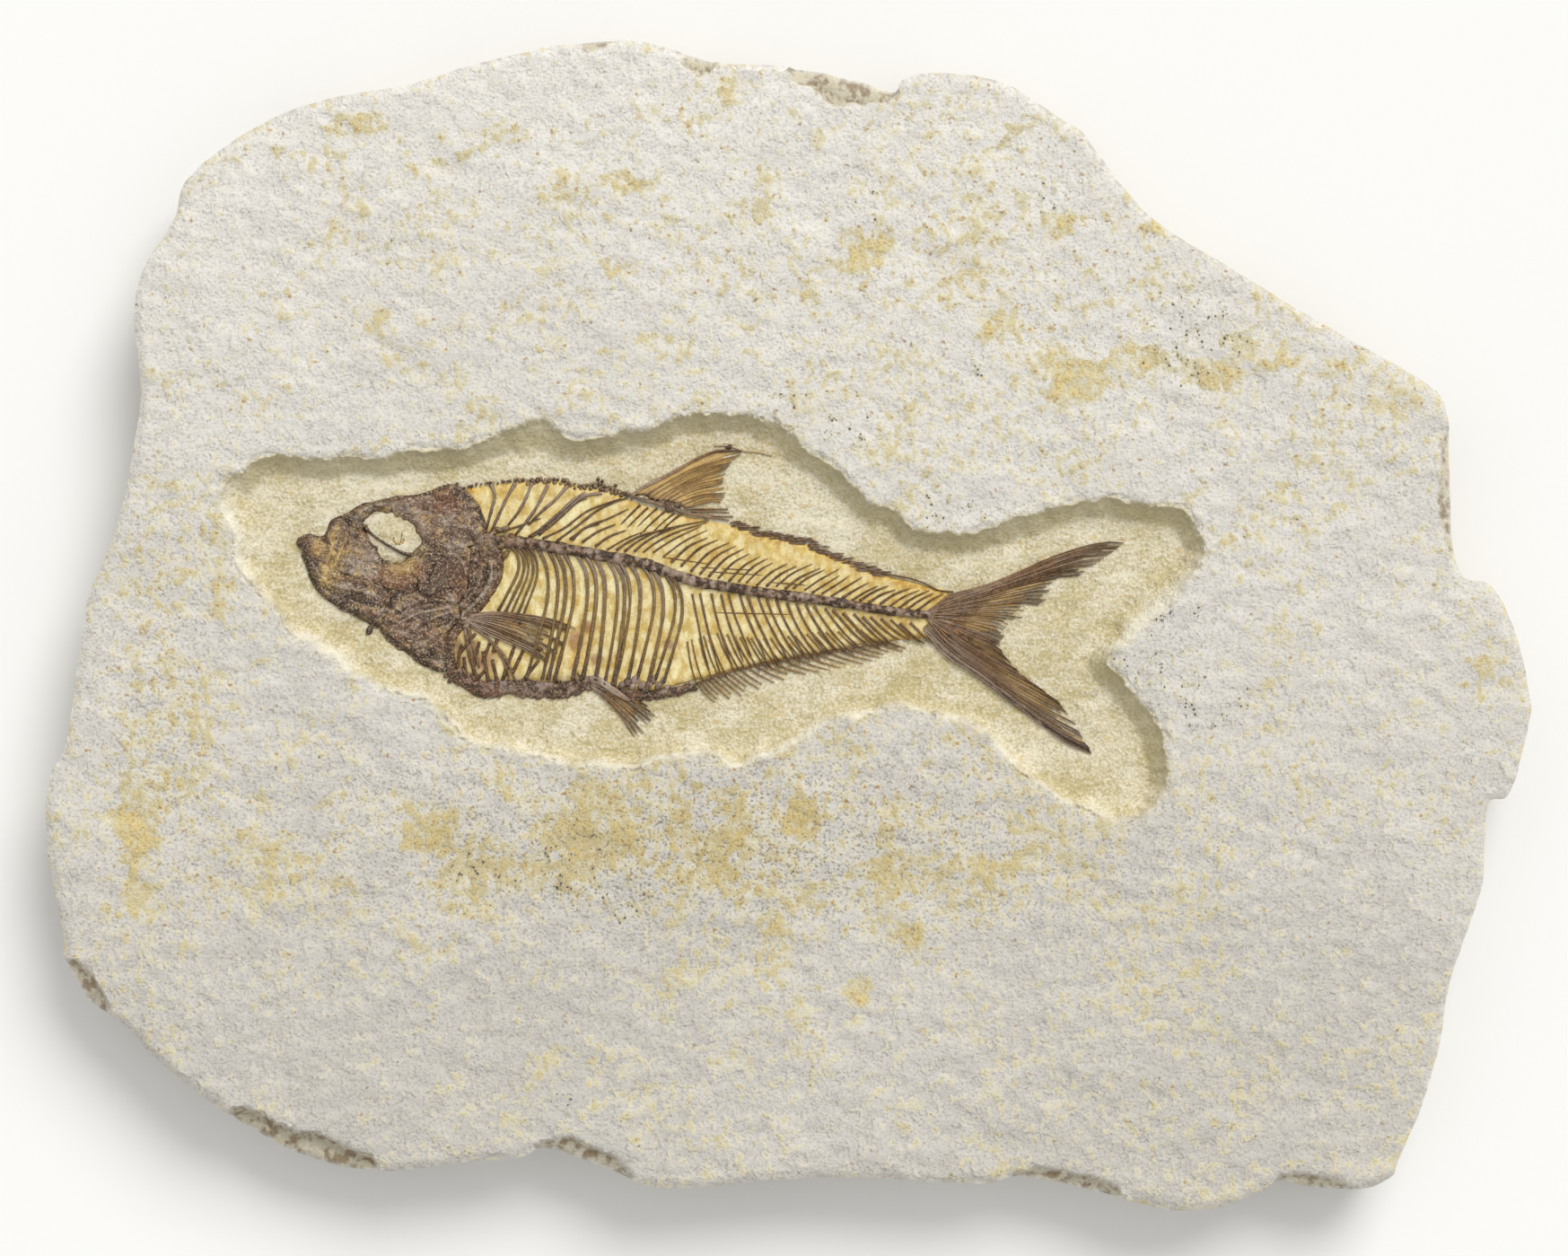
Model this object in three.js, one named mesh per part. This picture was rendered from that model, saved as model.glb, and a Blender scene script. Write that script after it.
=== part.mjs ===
import * as THREE from "three";

// A fossil herring in a split limestone slab, lying face up. Millimetres, +Z up, +X from snout to tail.
// The origin is under the middle of the slab, on the face that it lies on.

const SLAB_TOP = 16;
const FLOOR = 12.4; // the prepared bed that the fish lies on, below the split face
const FILM_TOP = FLOOR + 0.4; // flesh and skin turned to a thin ochre crust

const OUTLINE_STEP = 5.7; // spacing of points round the slab's edge
const RIM_STEP = 3.7; // and round the edge of the recess
const TOP_SPACING = 7;
const TOP_RELIEF = 0.55; // height of the shallow flakes left by splitting
const TOP_BEVEL = 1.1;
const WALL_NORTH = 3.2; // run of the recess wall where it slopes, towards +Y and +X
const WALL_SOUTH = 1.5; // and where it is steep

// Each row is a height as a share of the slab's thickness, the inset there and how ragged it is.
const SIDE_ROWS = [
  { share: 0, inset: 3.2, ragged: 0.5 },
  { share: 0.22, inset: 1.1, ragged: 0.9 },
  { share: 0.52, inset: 0.5, ragged: 0.7 },
  { share: 0.9, inset: 0.0, ragged: 0.0 },
];

// Places on the edge where a flake has come off and a lower ledge shows: x, y, radius and depth.
const EDGE_CHIPS = [
  [9.5, 92, 10, 2.6],
  [-15, 95, 5, 1.6],
  [-81, -88, 14, 2.8],
  [-37.5, -90.5, 8, 1.8],
  [47, -94.5, 10, 1.6],
  [88, -94, 6, 1.2],
  [-118, -61, 6, 2.0],
  [111, 22, 9, 1.0],
];

const SLAB_OUTLINE = [
  [-36, 98], [-42.5, 97], [-52, 94.5], [-64, 91], [-76, 89], [-86.5, 85.5], [-95.5, 80],
  [-101.5, 74.5], [-103.5, 68], [-108, 60.5], [-110, 53.5], [-109, 38.5], [-111, 25.5],
  [-113.5, 15], [-116.5, 8], [-118, 4], [-119.5, -6], [-121.5, -20], [-124, -25], [-125, -32.5],
  [-124, -41.5], [-122, -51.5], [-121.5, -56.5], [-117.5, -63.5], [-111.5, -67.5], [-106.5, -73],
  [-97, -80.5], [-87, -87], [-78.5, -90.5], [-69, -92], [-55, -90.5], [-45, -89.5], [-41, -88],
  [-32, -91], [-23, -94.5], [-13, -94.5], [-3.5, -93.5], [10, -93], [32, -94], [38.5, -93],
  [50, -95], [61.5, -98], [67, -98.5], [73, -98], [80.5, -95], [82.5, -93.5], [87.5, -94.5],
  [96, -95], [101.5, -93], [103, -90], [107.5, -79], [110, -69.5], [111.5, -60], [114, -52.5],
  [117, -44], [118, -30.5], [121.5, -28.5], [125, -16.5], [125, -12], [122, 0.5], [118.5, 6.5],
  [113, 9.5], [111.5, 24.5], [111, 36], [107, 41], [93, 49], [78, 58], [63.5, 67], [57.5, 72.5],
  [50, 82.5], [45.5, 85.5], [37, 91], [27.5, 93], [19.5, 92], [18, 90], [11, 92], [0.5, 94],
  [-12.5, 95], [-23.5, 98], [-29.5, 98.5],
];

const RECESS_RIM = [
  [-94.5, 23.5], [-94.5, 18], [-93.5, 14], [-92, 9], [-88, 4.5], [-83.5, -1], [-78.5, -4],
  [-71.5, -9], [-66, -11], [-58.5, -14], [-54, -19.5], [-49.5, -21], [-42.5, -21.5],
  [-37.5, -23], [-30, -24], [-24.5, -23.5], [-20.5, -22.5], [-13.5, -21.2], [-9, -23.5],
  [-3.5, -22], [1.5, -20], [5, -17.5], [9, -15.5], [13.5, -15], [18.5, -13.5], [24, -15],
  [28.5, -16], [32, -17], [36.5, -21.5], [40, -25], [43.5, -28], [50.5, -31.5], [55.5, -32.5],
  [60, -31.5], [63.5, -26.5], [63, -18.5], [57, -10.5], [54, -6], [58.5, -1.5], [65.5, 5.5],
  [69.5, 10.5], [70.5, 14], [68.5, 17], [65, 19.5], [60, 20.5], [54.5, 21.5], [50.5, 21],
  [43.5, 19], [37.5, 17.5], [33, 16], [28.5, 15], [24, 15.5], [18.5, 18], [13, 21.5],
  [10, 24.5], [7, 27], [3, 29], [0.5, 32], [-3, 34.5], [-8, 35.5], [-16, 35.5], [-21, 34],
  [-31.5, 32], [-38, 31.5], [-41, 35], [-48.5, 32], [-54, 29.5], [-64, 29.5], [-68, 28],
  [-73, 28.5], [-80, 28], [-88.5, 28],
];

const FILM_OUTLINE = [
  [-54, 23], [-52.4, 21.6], [-51.2, 19.8], [-50.4, 17.8], [-49.8, 16.2], [-48.6, 14.8],
  [-47.5, 13], [-47, 10.8], [-47.1, 8.6], [-48.1, 6.2], [-49.5, 4], [-51.2, 1.8], [-53.2, -0.4],
  [-54.7, -2], [-55.5, -4], [-55.4, -6.4], [-54.8, -8.4], [-53.2, -9.4], [-50.6, -10.2],
  [-38.8, -10.2], [-32, -10.2], [-26, -11], [-21.4, -10.8], [-16.6, -9.6], [-12.8, -8.6],
  [-6.2, -6.8], [0.2, -5.6], [6.8, -4.4], [13.4, -3.2], [18.2, -2.6], [22.2, -2.2],
  [22.8, -1.6], [23.4, 1], [25, 3.4], [27, 5.6], [21.4, 7], [14.8, 9], [8, 11.8], [0.4, 14.4],
  [-7.2, 16.2], [-11.6, 17.2], [-16, 18.2], [-19.6, 18.8], [-23.4, 20], [-26.8, 21.2],
  [-30, 22.4], [-34.4, 23.4], [-38.8, 24.2], [-44.8, 24.2], [-50.2, 23.6],
];

const SKULL_OUTLINE = [
  [-82.6, 14.2], [-81.4, 12.6], [-79.2, 11.2], [-76.2, 9.6], [-73.2, 8.4], [-70.2, 7.6],
  [-67.6, 6.6], [-65.2, 6], [-63.2, 6], [-62.6, 7.2], [-62.4, 9.4], [-62, 11.4], [-60.8, 12.6],
  [-58.4, 12.8], [-55.8, 13.2], [-53.6, 13.6], [-51.8, 14.6], [-51, 16.2], [-51.4, 17.6],
  [-51.9, 19.4], [-53.2, 21.2], [-54.6, 22.4], [-56, 23.2], [-57.4, 23.4], [-60.4, 22.2],
  [-63.4, 21.6], [-67, 21.2], [-70.6, 20.4], [-72.4, 19.8], [-75, 18.2], [-76.8, 17.4],
  [-78.2, 14.8], [-80.4, 15],
];
const EYE_SOCKET = [
  [-71.2, 17.6], [-70.2, 15.8], [-68.2, 14.4], [-66, 13], [-63.8, 12], [-63, 12.8],
  [-62.2, 14.6], [-62.6, 16], [-64.4, 17], [-66, 18.6], [-68, 19.4], [-70, 18.8],
];
const LOWER_JAW_OUTLINE = [
  [-81.6, 12], [-81, 10.2], [-80.4, 8.2], [-79.2, 6.2], [-77.8, 4.6], [-75.6, 3.2], [-73.2, 2],
  [-71.2, 1], [-69.4, -0.2], [-68.6, 1.2], [-67.6, 2.8], [-67.4, 4.8], [-68, 6], [-70.6, 7],
  [-73.6, 7.8], [-76.6, 9], [-79.6, 10.6],
];
const THROAT_OUTLINE = [
  [-67, 5.6], [-66.6, 4.4], [-67, 2.8], [-67.8, 1], [-68.4, -0.8], [-66.8, -2.8], [-64.4, -4.4],
  [-61.4, -6.4], [-59.4, -7.4], [-57.6, -7.4], [-58, -5.4], [-58, -3.4], [-57.4, -1.2],
  [-56.2, 0.4], [-55.4, 2], [-55.8, 3.4], [-57.6, 3.8], [-59.6, 4.4], [-61.4, 5.2],
  [-63.2, 5.6], [-65.2, 5.4],
];
const GILL_COVER_OUTLINE = [
  [-61.2, 11.8], [-61.8, 9.6], [-62, 7.2], [-61.4, 5.8], [-59.6, 5.2], [-57.6, 4.6],
  [-55.9, 4.1], [-55, 5], [-54.4, 6.6], [-54.2, 8.8], [-54, 11.2], [-54.1, 12.7],
  [-55.8, 12.5], [-58.4, 12.2],
];
const SHOULDER_OUTLINE = [
  [-50.4, 15.4], [-51.6, 13.8], [-53.4, 12.8], [-53.2, 11.4], [-53.4, 9], [-53.6, 7],
  [-54.2, 4.8], [-55, 3.4], [-54.6, 1.6], [-55.6, 0], [-56.8, -1.6], [-57.4, -3.4],
  [-57.4, -5.8], [-56.8, -7.8], [-56, -8], [-56.3, -6], [-56.3, -3.6], [-55.5, -1.4],
  [-54, 0.6], [-52, 2.6], [-50.5, 4.4], [-49.1, 6.4], [-48.1, 8.8], [-47.9, 10.8],
  [-48.4, 12.8], [-49.2, 14.4],
];

const BACK_LINE = [[-54, 24.2], [-50.2, 24.7], [-44.8, 25.1], [-38.8, 25.1], [-34.4, 24.4], [-30, 23.4], [-27.4, 22.6]];
const FRONT_KEEL_LINE = [[-52, -10.7], [-48, -11.1], [-41.8, -11.1], [-37.4, -11.1], [-34, -11.1]];
const REAR_KEEL_LINE = [[-24, -11.8], [-21.4, -11.6], [-19.2, -11.1], [-16.8, -10.4]];

const SPINE_LINE = [
  [-46.6, 14], [-42, 13.4], [-38, 12.8], [-30.8, 11.6], [-23.4, 10.4], [-19.8, 9.2], [-16, 7.8],
  [-11.2, 6.8], [-4.6, 5.8], [1.8, 4.8], [8.4, 4], [15, 2.8], [20.2, 2], [23.2, 1.8],
];
const SPINE_HALF_WIDTH = 0.75;
const NEURAL_SPINES = 31;
const RIBS = 19;
const HAEMAL_SPINES = 21;

const random = seededRandom(4411);

// A repeatable stream of numbers from 0 to 1.
function seededRandom(seed) {
  let state = seed;
  return () => {
    state = (Math.imul(state, 1664525) + 1013904223) >>> 0;
    return state / 4294967296;
  };
}

function mix(a, b, share) {
  return a + (b - a) * share;
}

function smoothstep(low, high, value) {
  const t = Math.min(1, Math.max(0, (value - low) / (high - low)));
  return t * t * (3 - 2 * t);
}

// One fixed random number from 0 to 1 for each cell of a square lattice.
function latticeValue(column, row) {
  let hash = Math.imul(column, 374761393) + Math.imul(row, 668265263);
  hash = Math.imul(hash ^ (hash >>> 13), 1274126177);
  return ((hash ^ (hash >>> 16)) >>> 0) / 4294967296;
}

// Smooth noise from 0 to 1, with lumps about as wide as the size given.
function noise(x, y, size) {
  const u = x / size;
  const v = y / size;
  const column = Math.floor(u);
  const row = Math.floor(v);
  const across = smoothstep(0, 1, u - column);
  const along = smoothstep(0, 1, v - row);
  const near = mix(latticeValue(column, row), latticeValue(column + 1, row), across);
  const far = mix(latticeValue(column, row + 1), latticeValue(column + 1, row + 1), across);
  return mix(near, far, along);
}

// Points on a smooth curve through hand-placed ones, about one step apart.
function smoothLine(points, step, closed = false) {
  const curve = new THREE.CatmullRomCurve3(
    points.map(([x, y]) => new THREE.Vector3(x, y, 0)), closed, "centripetal");
  const count = Math.max(2, Math.round(curve.getLength() / step));
  const placed = curve.getSpacedPoints(count).map((point) => [point.x, point.y]);
  return closed ? placed.slice(0, -1) : placed;
}

// The point at a share of a line's length.
function along(line, share) {
  const place = share * (line.length - 1);
  const index = Math.min(line.length - 2, Math.floor(place));
  const part = place - index;
  return [mix(line[index][0], line[index + 1][0], part), mix(line[index][1], line[index + 1][1], part)];
}

// The y of a line that runs from left to right, at one x.
function heightAt(line, x) {
  let index = 0;
  while (index < line.length - 2 && line[index + 1][0] < x) index += 1;
  const [a, b] = [line[index], line[index + 1]];
  return mix(a[1], b[1], (x - a[0]) / (b[0] - a[0]));
}

// A loop moved inwards, by a distance that may change from point to point.
function insetLoop(loop, distanceAt, reach = 2) {
  const count = loop.length;
  return loop.map(([x, y], index) => {
    const before = loop[(index - reach + count) % count];
    const after = loop[(index + reach) % count];
    const length = Math.hypot(after[0] - before[0], after[1] - before[1]);
    const inwards = [-(after[1] - before[1]) / length, (after[0] - before[0]) / length];
    const distance = distanceAt(x, y, inwards);
    return [x + inwards[0] * distance, y + inwards[1] * distance];
  });
}

function insideLoop(loop, x, y) {
  let inside = false;
  for (let i = 0, j = loop.length - 1; i < loop.length; j = i, i += 1) {
    const [xi, yi] = loop[i];
    const [xj, yj] = loop[j];
    if ((yi > y) !== (yj > y) && x < ((xj - xi) * (y - yi)) / (yj - yi) + xi) inside = !inside;
  }
  return inside;
}

function nearest(points, x, y) {
  let best = Infinity;
  for (const point of points) best = Math.min(best, Math.hypot(point[0] - x, point[1] - y));
  return best;
}

// The centre and squared radius of the circle through three points.
function circleThrough(a, b, c) {
  const bx = b[0] - a[0];
  const by = b[1] - a[1];
  const cx = c[0] - a[0];
  const cy = c[1] - a[1];
  const twiceCross = 2 * (bx * cy - by * cx);
  const bSquare = bx * bx + by * by;
  const cSquare = cx * cx + cy * cy;
  const ux = (cy * bSquare - by * cSquare) / twiceCross;
  const uy = (bx * cSquare - cx * bSquare) / twiceCross;
  return { x: a[0] + ux, y: a[1] + uy, square: ux * ux + uy * uy };
}

// Delaunay triangles of a set of points, added one at a time.
function delaunay(points) {
  const size = 1000;
  const all = [...points, [-size, -size], [size, -size], [0, size]];
  const count = points.length;
  const makeTriangle = (a, b, c) => ({ corners: [a, b, c], circle: circleThrough(all[a], all[b], all[c]) });
  let triangles = [makeTriangle(count, count + 1, count + 2)];
  for (let index = 0; index < count; index += 1) {
    const [x, y] = all[index];
    const edges = new Map();
    const kept = [];
    for (const triangle of triangles) {
      const { circle, corners } = triangle;
      if ((x - circle.x) ** 2 + (y - circle.y) ** 2 >= circle.square) {
        kept.push(triangle);
        continue;
      }
      for (let side = 0; side < 3; side += 1) {
        const from = corners[side];
        const to = corners[(side + 1) % 3];
        const opposite = `${to},${from}`;
        if (edges.has(opposite)) edges.delete(opposite);
        else edges.set(`${from},${to}`, [from, to]);
      }
    }
    for (const [from, to] of edges.values()) kept.push(makeTriangle(from, to, index));
    triangles = kept;
  }
  return triangles.map((triangle) => triangle.corners).filter((corners) => Math.max(...corners) < count);
}

// Triangles that fill the first loop and leave the others as holes. A loop's edge that the triangles
// would cross is halved until they follow it, so the loops come back with any added points.
function fillLoops(loops, spacing) {
  const filled = loops.map((loop) => loop.map((point) => [...point]));
  const inRegion = (x, y) => insideLoop(filled[0], x, y) && !filled.slice(1).some((hole) => insideLoop(hole, x, y));
  const inner = spacing ? innerPoints(filled, spacing, inRegion) : [];
  for (;;) {
    const points = [...filled.flat(), ...inner];
    const triangles = delaunay(points);
    const edges = new Set();
    for (const [a, b, c] of triangles) {
      for (const [from, to] of [[a, b], [b, c], [c, a]]) {
        edges.add(`${from},${to}`);
        edges.add(`${to},${from}`);
      }
    }
    let added = 0;
    let start = points.length - inner.length;
    for (let index = filled.length - 1; index >= 0; index -= 1) {
      const loop = filled[index];
      start -= loop.length;
      for (let k = loop.length - 1; k >= 0; k -= 1) {
        const next = (k + 1) % loop.length;
        if (edges.has(`${start + k},${start + next}`)) continue;
        loop.splice(k + 1, 0, [mix(loop[k][0], loop[next][0], 0.5), mix(loop[k][1], loop[next][1], 0.5)]);
        added += 1;
      }
    }
    if (added) continue;
    const inside = triangles.filter((corners) => {
      const x = (points[corners[0]][0] + points[corners[1]][0] + points[corners[2]][0]) / 3;
      const y = (points[corners[0]][1] + points[corners[1]][1] + points[corners[2]][1]) / 3;
      return inRegion(x, y);
    });
    return { loops: filled, inner, triangles: inside };
  }
}

// Points of a slightly shaken triangular lattice, clear of every loop.
function innerPoints(loops, spacing, inRegion) {
  const edge = loops.flat();
  const xs = edge.map((point) => point[0]);
  const ys = edge.map((point) => point[1]);
  const rowStep = spacing * Math.sqrt(0.75);
  const points = [];
  let row = 0;
  for (let y = Math.min(...ys); y < Math.max(...ys); y += rowStep) {
    row += 1;
    for (let x = Math.min(...xs) + (row % 2) * spacing * 0.5; x < Math.max(...xs); x += spacing) {
      const px = x + (random() - 0.5) * spacing * 0.4;
      const py = y + (random() - 0.5) * spacing * 0.4;
      if (inRegion(px, py) && nearest(edge, px, py) > spacing * 0.62) points.push([px, py]);
    }
  }
  return points;
}

// A closed body put together from rings of points, walls between rings and triangle fills.
class Body {
  positions = [];
  faces = [];

  ring(loop, heightOf) {
    return loop.map(([x, y], index) => {
      this.positions.push(x, y, heightOf(x, y, index));
      return this.positions.length / 3 - 1;
    });
  }

  wall(from, to) {
    from.forEach((corner, index) => {
      const next = (index + 1) % from.length;
      this.faces.push(corner, from[next], to[next], corner, to[next], to[index]);
    });
  }

  fill(fill, corners, facesUp) {
    for (const [a, b, c] of fill.triangles) {
      if (facesUp) this.faces.push(corners[a], corners[b], corners[c]);
      else this.faces.push(corners[a], corners[c], corners[b]);
    }
  }

  geometry() {
    const geometry = new THREE.BufferGeometry();
    geometry.setAttribute("position", new THREE.Float32BufferAttribute(this.positions, 3));
    geometry.setIndex(this.faces);
    geometry.computeVertexNormals();
    return geometry;
  }
}

// A thin piece with a flat underside and a top whose height is a function of the place.
function reliefPlate(loops, spacing, underside, heightOf) {
  const fill = fillLoops(loops, spacing);
  const body = new Body();
  const lower = fill.loops.map((loop) => body.ring(loop, () => underside));
  const upper = fill.loops.map((loop) => body.ring(loop, heightOf));
  body.wall(lower[0], upper[0]);
  for (let hole = 1; hole < lower.length; hole += 1) body.wall(upper[hole], lower[hole]);
  body.fill(fill, [...upper.flat(), ...body.ring(fill.inner, heightOf)], true);
  body.fill(fill, [...lower.flat(), ...body.ring(fill.inner, () => underside)], false);
  return body.geometry();
}

// The split face: broad waves and shallow flakes, a little lower towards the outer edge.
function splitFaceHeight(x, y) {
  const waves = noise(x, y * 1.3, 46) - 0.5;
  const flakes = noise(x * 0.8, y * 1.5, 15) - 0.5;
  return SLAB_TOP + TOP_RELIEF * (waves * 1.1 + flakes * 0.9);
}

function chipDepth(x, y) {
  return EDGE_CHIPS.reduce((depth, [cx, cy, radius, most]) => {
    const share = 1 - smoothstep(0.5, 1, Math.hypot(x - cx, y - cy) / radius);
    return Math.max(depth, most * share);
  }, 0);
}

// How far the recess wall runs in from the rim: gentle at the top and right, steep below and left.
function wallRun(x, y, inwards) {
  const facing = 0.5 + 0.5 * (-inwards[0] * 0.45 - inwards[1] * 0.89);
  const brokenShelf = 2.2 * (1 - smoothstep(2, 7, Math.hypot(x + 42, y - 34)));
  return mix(WALL_SOUTH, WALL_NORTH, smoothstep(0.15, 0.85, facing)) + brokenShelf;
}

function makeSlab() {
  const rim = smoothLine(RECESS_RIM, RIM_STEP, true).map(([x, y]) => {
    const scallop = (noise(x, y, 3.1) - 0.5) * 0.9;
    return [x + scallop * 0.5, y + scallop];
  });
  const edge = smoothLine(SLAB_OUTLINE, OUTLINE_STEP, true);
  const shoulder = insetLoop(edge, (x, y) => TOP_BEVEL + 0.5 * noise(x, y, 9) + chipDepth(x, y), 1);
  const topFill = fillLoops([shoulder, rim], TOP_SPACING);
  const [topLoop, rimLoop] = topFill.loops;
  const body = new Body();

  const rimRing = body.ring(rimLoop, (x, y) => splitFaceHeight(x, y) - 0.25);
  const topRing = body.ring(topLoop, (x, y) => splitFaceHeight(x, y) - 0.3);
  body.fill(topFill, [...topRing, ...rimRing, ...body.ring(topFill.inner, splitFaceHeight)], true);

  const outer = topLoop.length === edge.length ? edge : insetLoop(topLoop, () => -TOP_BEVEL, 1);
  let lowerRing = null;
  for (const { share, inset, ragged } of SIDE_ROWS) {
    const loop = insetLoop(outer, (x, y) => inset + ragged * (noise(x + 60 * share, y, 11) * 2 - 1) * 0.8, 2);
    const ledge = (x, y) => SLAB_TOP * share - (share > 0.8 ? chipDepth(x, y) * 0.55 : 0);
    const ring = body.ring(loop, (x, y) => (share === 0 ? 0 : ledge(x, y)));
    if (lowerRing) body.wall(lowerRing, ring);
    else addCap(body, loop, ring);
    lowerRing = ring;
  }
  body.wall(lowerRing, topRing);

  const base = insetLoop(rimLoop, wallRun, 2);
  const middle = rimLoop.map(([x, y], index) => [mix(x, base[index][0], 0.42), mix(y, base[index][1], 0.42)]);
  const middleRing = body.ring(middle, (x, y) => mix(SLAB_TOP, FLOOR, 0.5) + (noise(x, y, 4) - 0.5) * 0.6);
  body.wall(rimRing, middleRing);
  const baseRing = body.ring(base, () => FLOOR);
  body.wall(middleRing, baseRing);
  const bed = THREE.ShapeUtils.triangulateShape(base.map(([x, y]) => new THREE.Vector2(x, y)), []);
  for (const [a, b, c] of bed) body.faces.push(baseRing[a], baseRing[b], baseRing[c]);
  return body.geometry();
}

// The flat face that the slab lies on.
function addCap(body, loop, ring) {
  const cap = THREE.ShapeUtils.triangulateShape(loop.map(([x, y]) => new THREE.Vector2(x, y)), []);
  for (const [a, b, c] of cap) body.faces.push(ring[a], ring[c], ring[b]);
}

// A fan of rays between a root line and a tip line. Seen from above, the rays leave the root line on
// its left. Each ray stands a little above the web beside it.
function fin({ root, tips, front, back, rays, steps, rayHeight, webHeight, ground = FLOOR }) {
  const rootLine = smoothLine(root, 0.5);
  const tipLine = smoothLine(tips, 0.5);
  const frontLine = smoothLine(front, 0.5);
  const backLine = smoothLine(back, 0.5);
  const columns = rays * 2;
  const place = (column, step) => {
    const t = column / columns;
    const s = step / steps;
    const [r, e, f, b] = [along(rootLine, t), along(tipLine, t), along(frontLine, s), along(backLine, s)];
    const straight = [0, 1].map((k) => {
      const ruled = mix(r[k], e[k], s) + mix(f[k], b[k], t);
      const corner = mix(mix(rootLine[0][k], tipLine[0][k], s), mix(rootLine.at(-1)[k], tipLine.at(-1)[k], s), t);
      return ruled - corner;
    });
    return straight;
  };
  const body = new Body();
  const upper = [];
  for (let column = 0; column <= columns; column += 1) {
    const line = Array.from({ length: steps + 1 }, (unused, step) => place(column, step));
    const atRoot = column % 2 === 0 ? rayHeight : webHeight;
    upper.push(body.ring(line, (x, y, step) => ground + mix(atRoot, webHeight * 0.8, step / steps)));
  }
  const { faces } = body;
  for (let column = 0; column < columns; column += 1) {
    for (let step = 0; step < steps; step += 1) {
      const [a, b] = [upper[column], upper[column + 1]];
      faces.push(a[step], b[step], b[step + 1], a[step], b[step + 1], a[step + 1]);
    }
  }
  const edge = [
    ...upper.map((line) => line[0]),
    ...upper.at(-1).slice(1),
    ...upper.slice(0, -1).reverse().map((line) => line[steps]),
    ...upper[0].slice(1, -1).reverse(),
  ];
  const outline = edge.map((corner) => [body.positions[corner * 3], body.positions[corner * 3 + 1]]);
  const lower = body.ring(outline, () => ground);
  body.wall(lower, edge);
  addCap(body, outline, lower);
  return body.geometry();
}

// A row of small pointed plates grown together along one line. Their points stand out to one side.
function scuteRow(line, count, width, point, side) {
  const base = smoothLine(line, 0.4);
  const near = [];
  const far = [];
  for (let k = 0; k <= count * 2; k += 1) {
    const [x, y] = along(base, k / (count * 2));
    near.push([x, y]);
    far.push([x, y + side * (k % 2 === 0 ? width : point)]);
  }
  const loop = side > 0 ? [...near, ...far.reverse()] : [...far, ...near.reverse()];
  return reliefPlate([loop], 0, FLOOR, (x, y) => FLOOR + 0.55 + 0.25 * noise(x, y, 1.4));
}

// One thin bone seen from above, as the two sides of a curved and tapered strip.
function boneSides({ root, tip, bulge, rootWidth, tipWidth, pieces }) {
  const length = Math.hypot(tip[0] - root[0], tip[1] - root[1]);
  const direction = [(tip[0] - root[0]) / length, (tip[1] - root[1]) / length];
  const left = [-direction[1], direction[0]];
  const sides = { left: [], right: [] };
  for (let k = 0; k <= pieces; k += 1) {
    const s = k / pieces;
    const bow = bulge * 4 * s * (1 - s);
    const half = mix(rootWidth, tipWidth, s) / 2;
    const x = mix(root[0], tip[0], s) + left[0] * bow;
    const y = mix(root[1], tip[1], s) + left[1] * bow;
    sides.left.push([x + left[0] * half, y + left[1] * half]);
    sides.right.push([x - left[0] * half, y - left[1] * half]);
  }
  return sides;
}

function neuralSpines() {
  const bones = [];
  for (let k = 0; k < NEURAL_SPINES; k += 1) {
    const share = k / (NEURAL_SPINES - 1);
    const x = mix(-44.6, 20, share);
    const y = heightAt(SPINE_LINE, x) + SPINE_HALF_WIDTH;
    const reach = mix(8.8, 2.4, Math.pow(share, 0.8));
    const lean = mix(3.4, 2.2, share);
    bones.push({ root: [x, y], tip: [x + lean, y + reach], bulge: 0.35,
      rootWidth: mix(1.0, 0.5, share), tipWidth: mix(0.6, 0.3, share), pieces: 2 });
  }
  return bones;
}

function ribsAndHaemalSpines() {
  const bones = [];
  for (let k = 0; k < RIBS; k += 1) {
    const share = k / (RIBS - 1);
    const x = mix(-46.2, -18.6, share);
    const y = heightAt(SPINE_LINE, x) - SPINE_HALF_WIDTH;
    const behindFin = x < -34.4;
    const tipY = behindFin ? heightAt([[-54, 3], [-46, 3], [-38, 1.8], [-33, 0]], x) : mix(-7.6, -9.2, share);
    const lean = (mix(-1.6, -2.6, share) * (y - tipY)) / 20;
    bones.push({ root: [x, y], tip: [x + lean, tipY], bulge: 0.8, rootWidth: 0.75, tipWidth: 0.5, pieces: 3 });
  }
  for (let k = 0; k < HAEMAL_SPINES; k += 1) {
    const share = k / (HAEMAL_SPINES - 1);
    const x = mix(-16.4, 20.4, share);
    const y = heightAt(SPINE_LINE, x) - SPINE_HALF_WIDTH;
    const tipX = x + mix(2.0, 2.4, share);
    const tipY = Math.min(y - 1.4, heightAt(FILM_OUTLINE.slice(23, 31), tipX) + 0.9);
    bones.push({ root: [x, y], tip: [tipX, tipY], bulge: 0.2,
      rootWidth: mix(0.7, 0.5, share), tipWidth: 0.32, pieces: 2 });
  }
  return bones;
}

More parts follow.
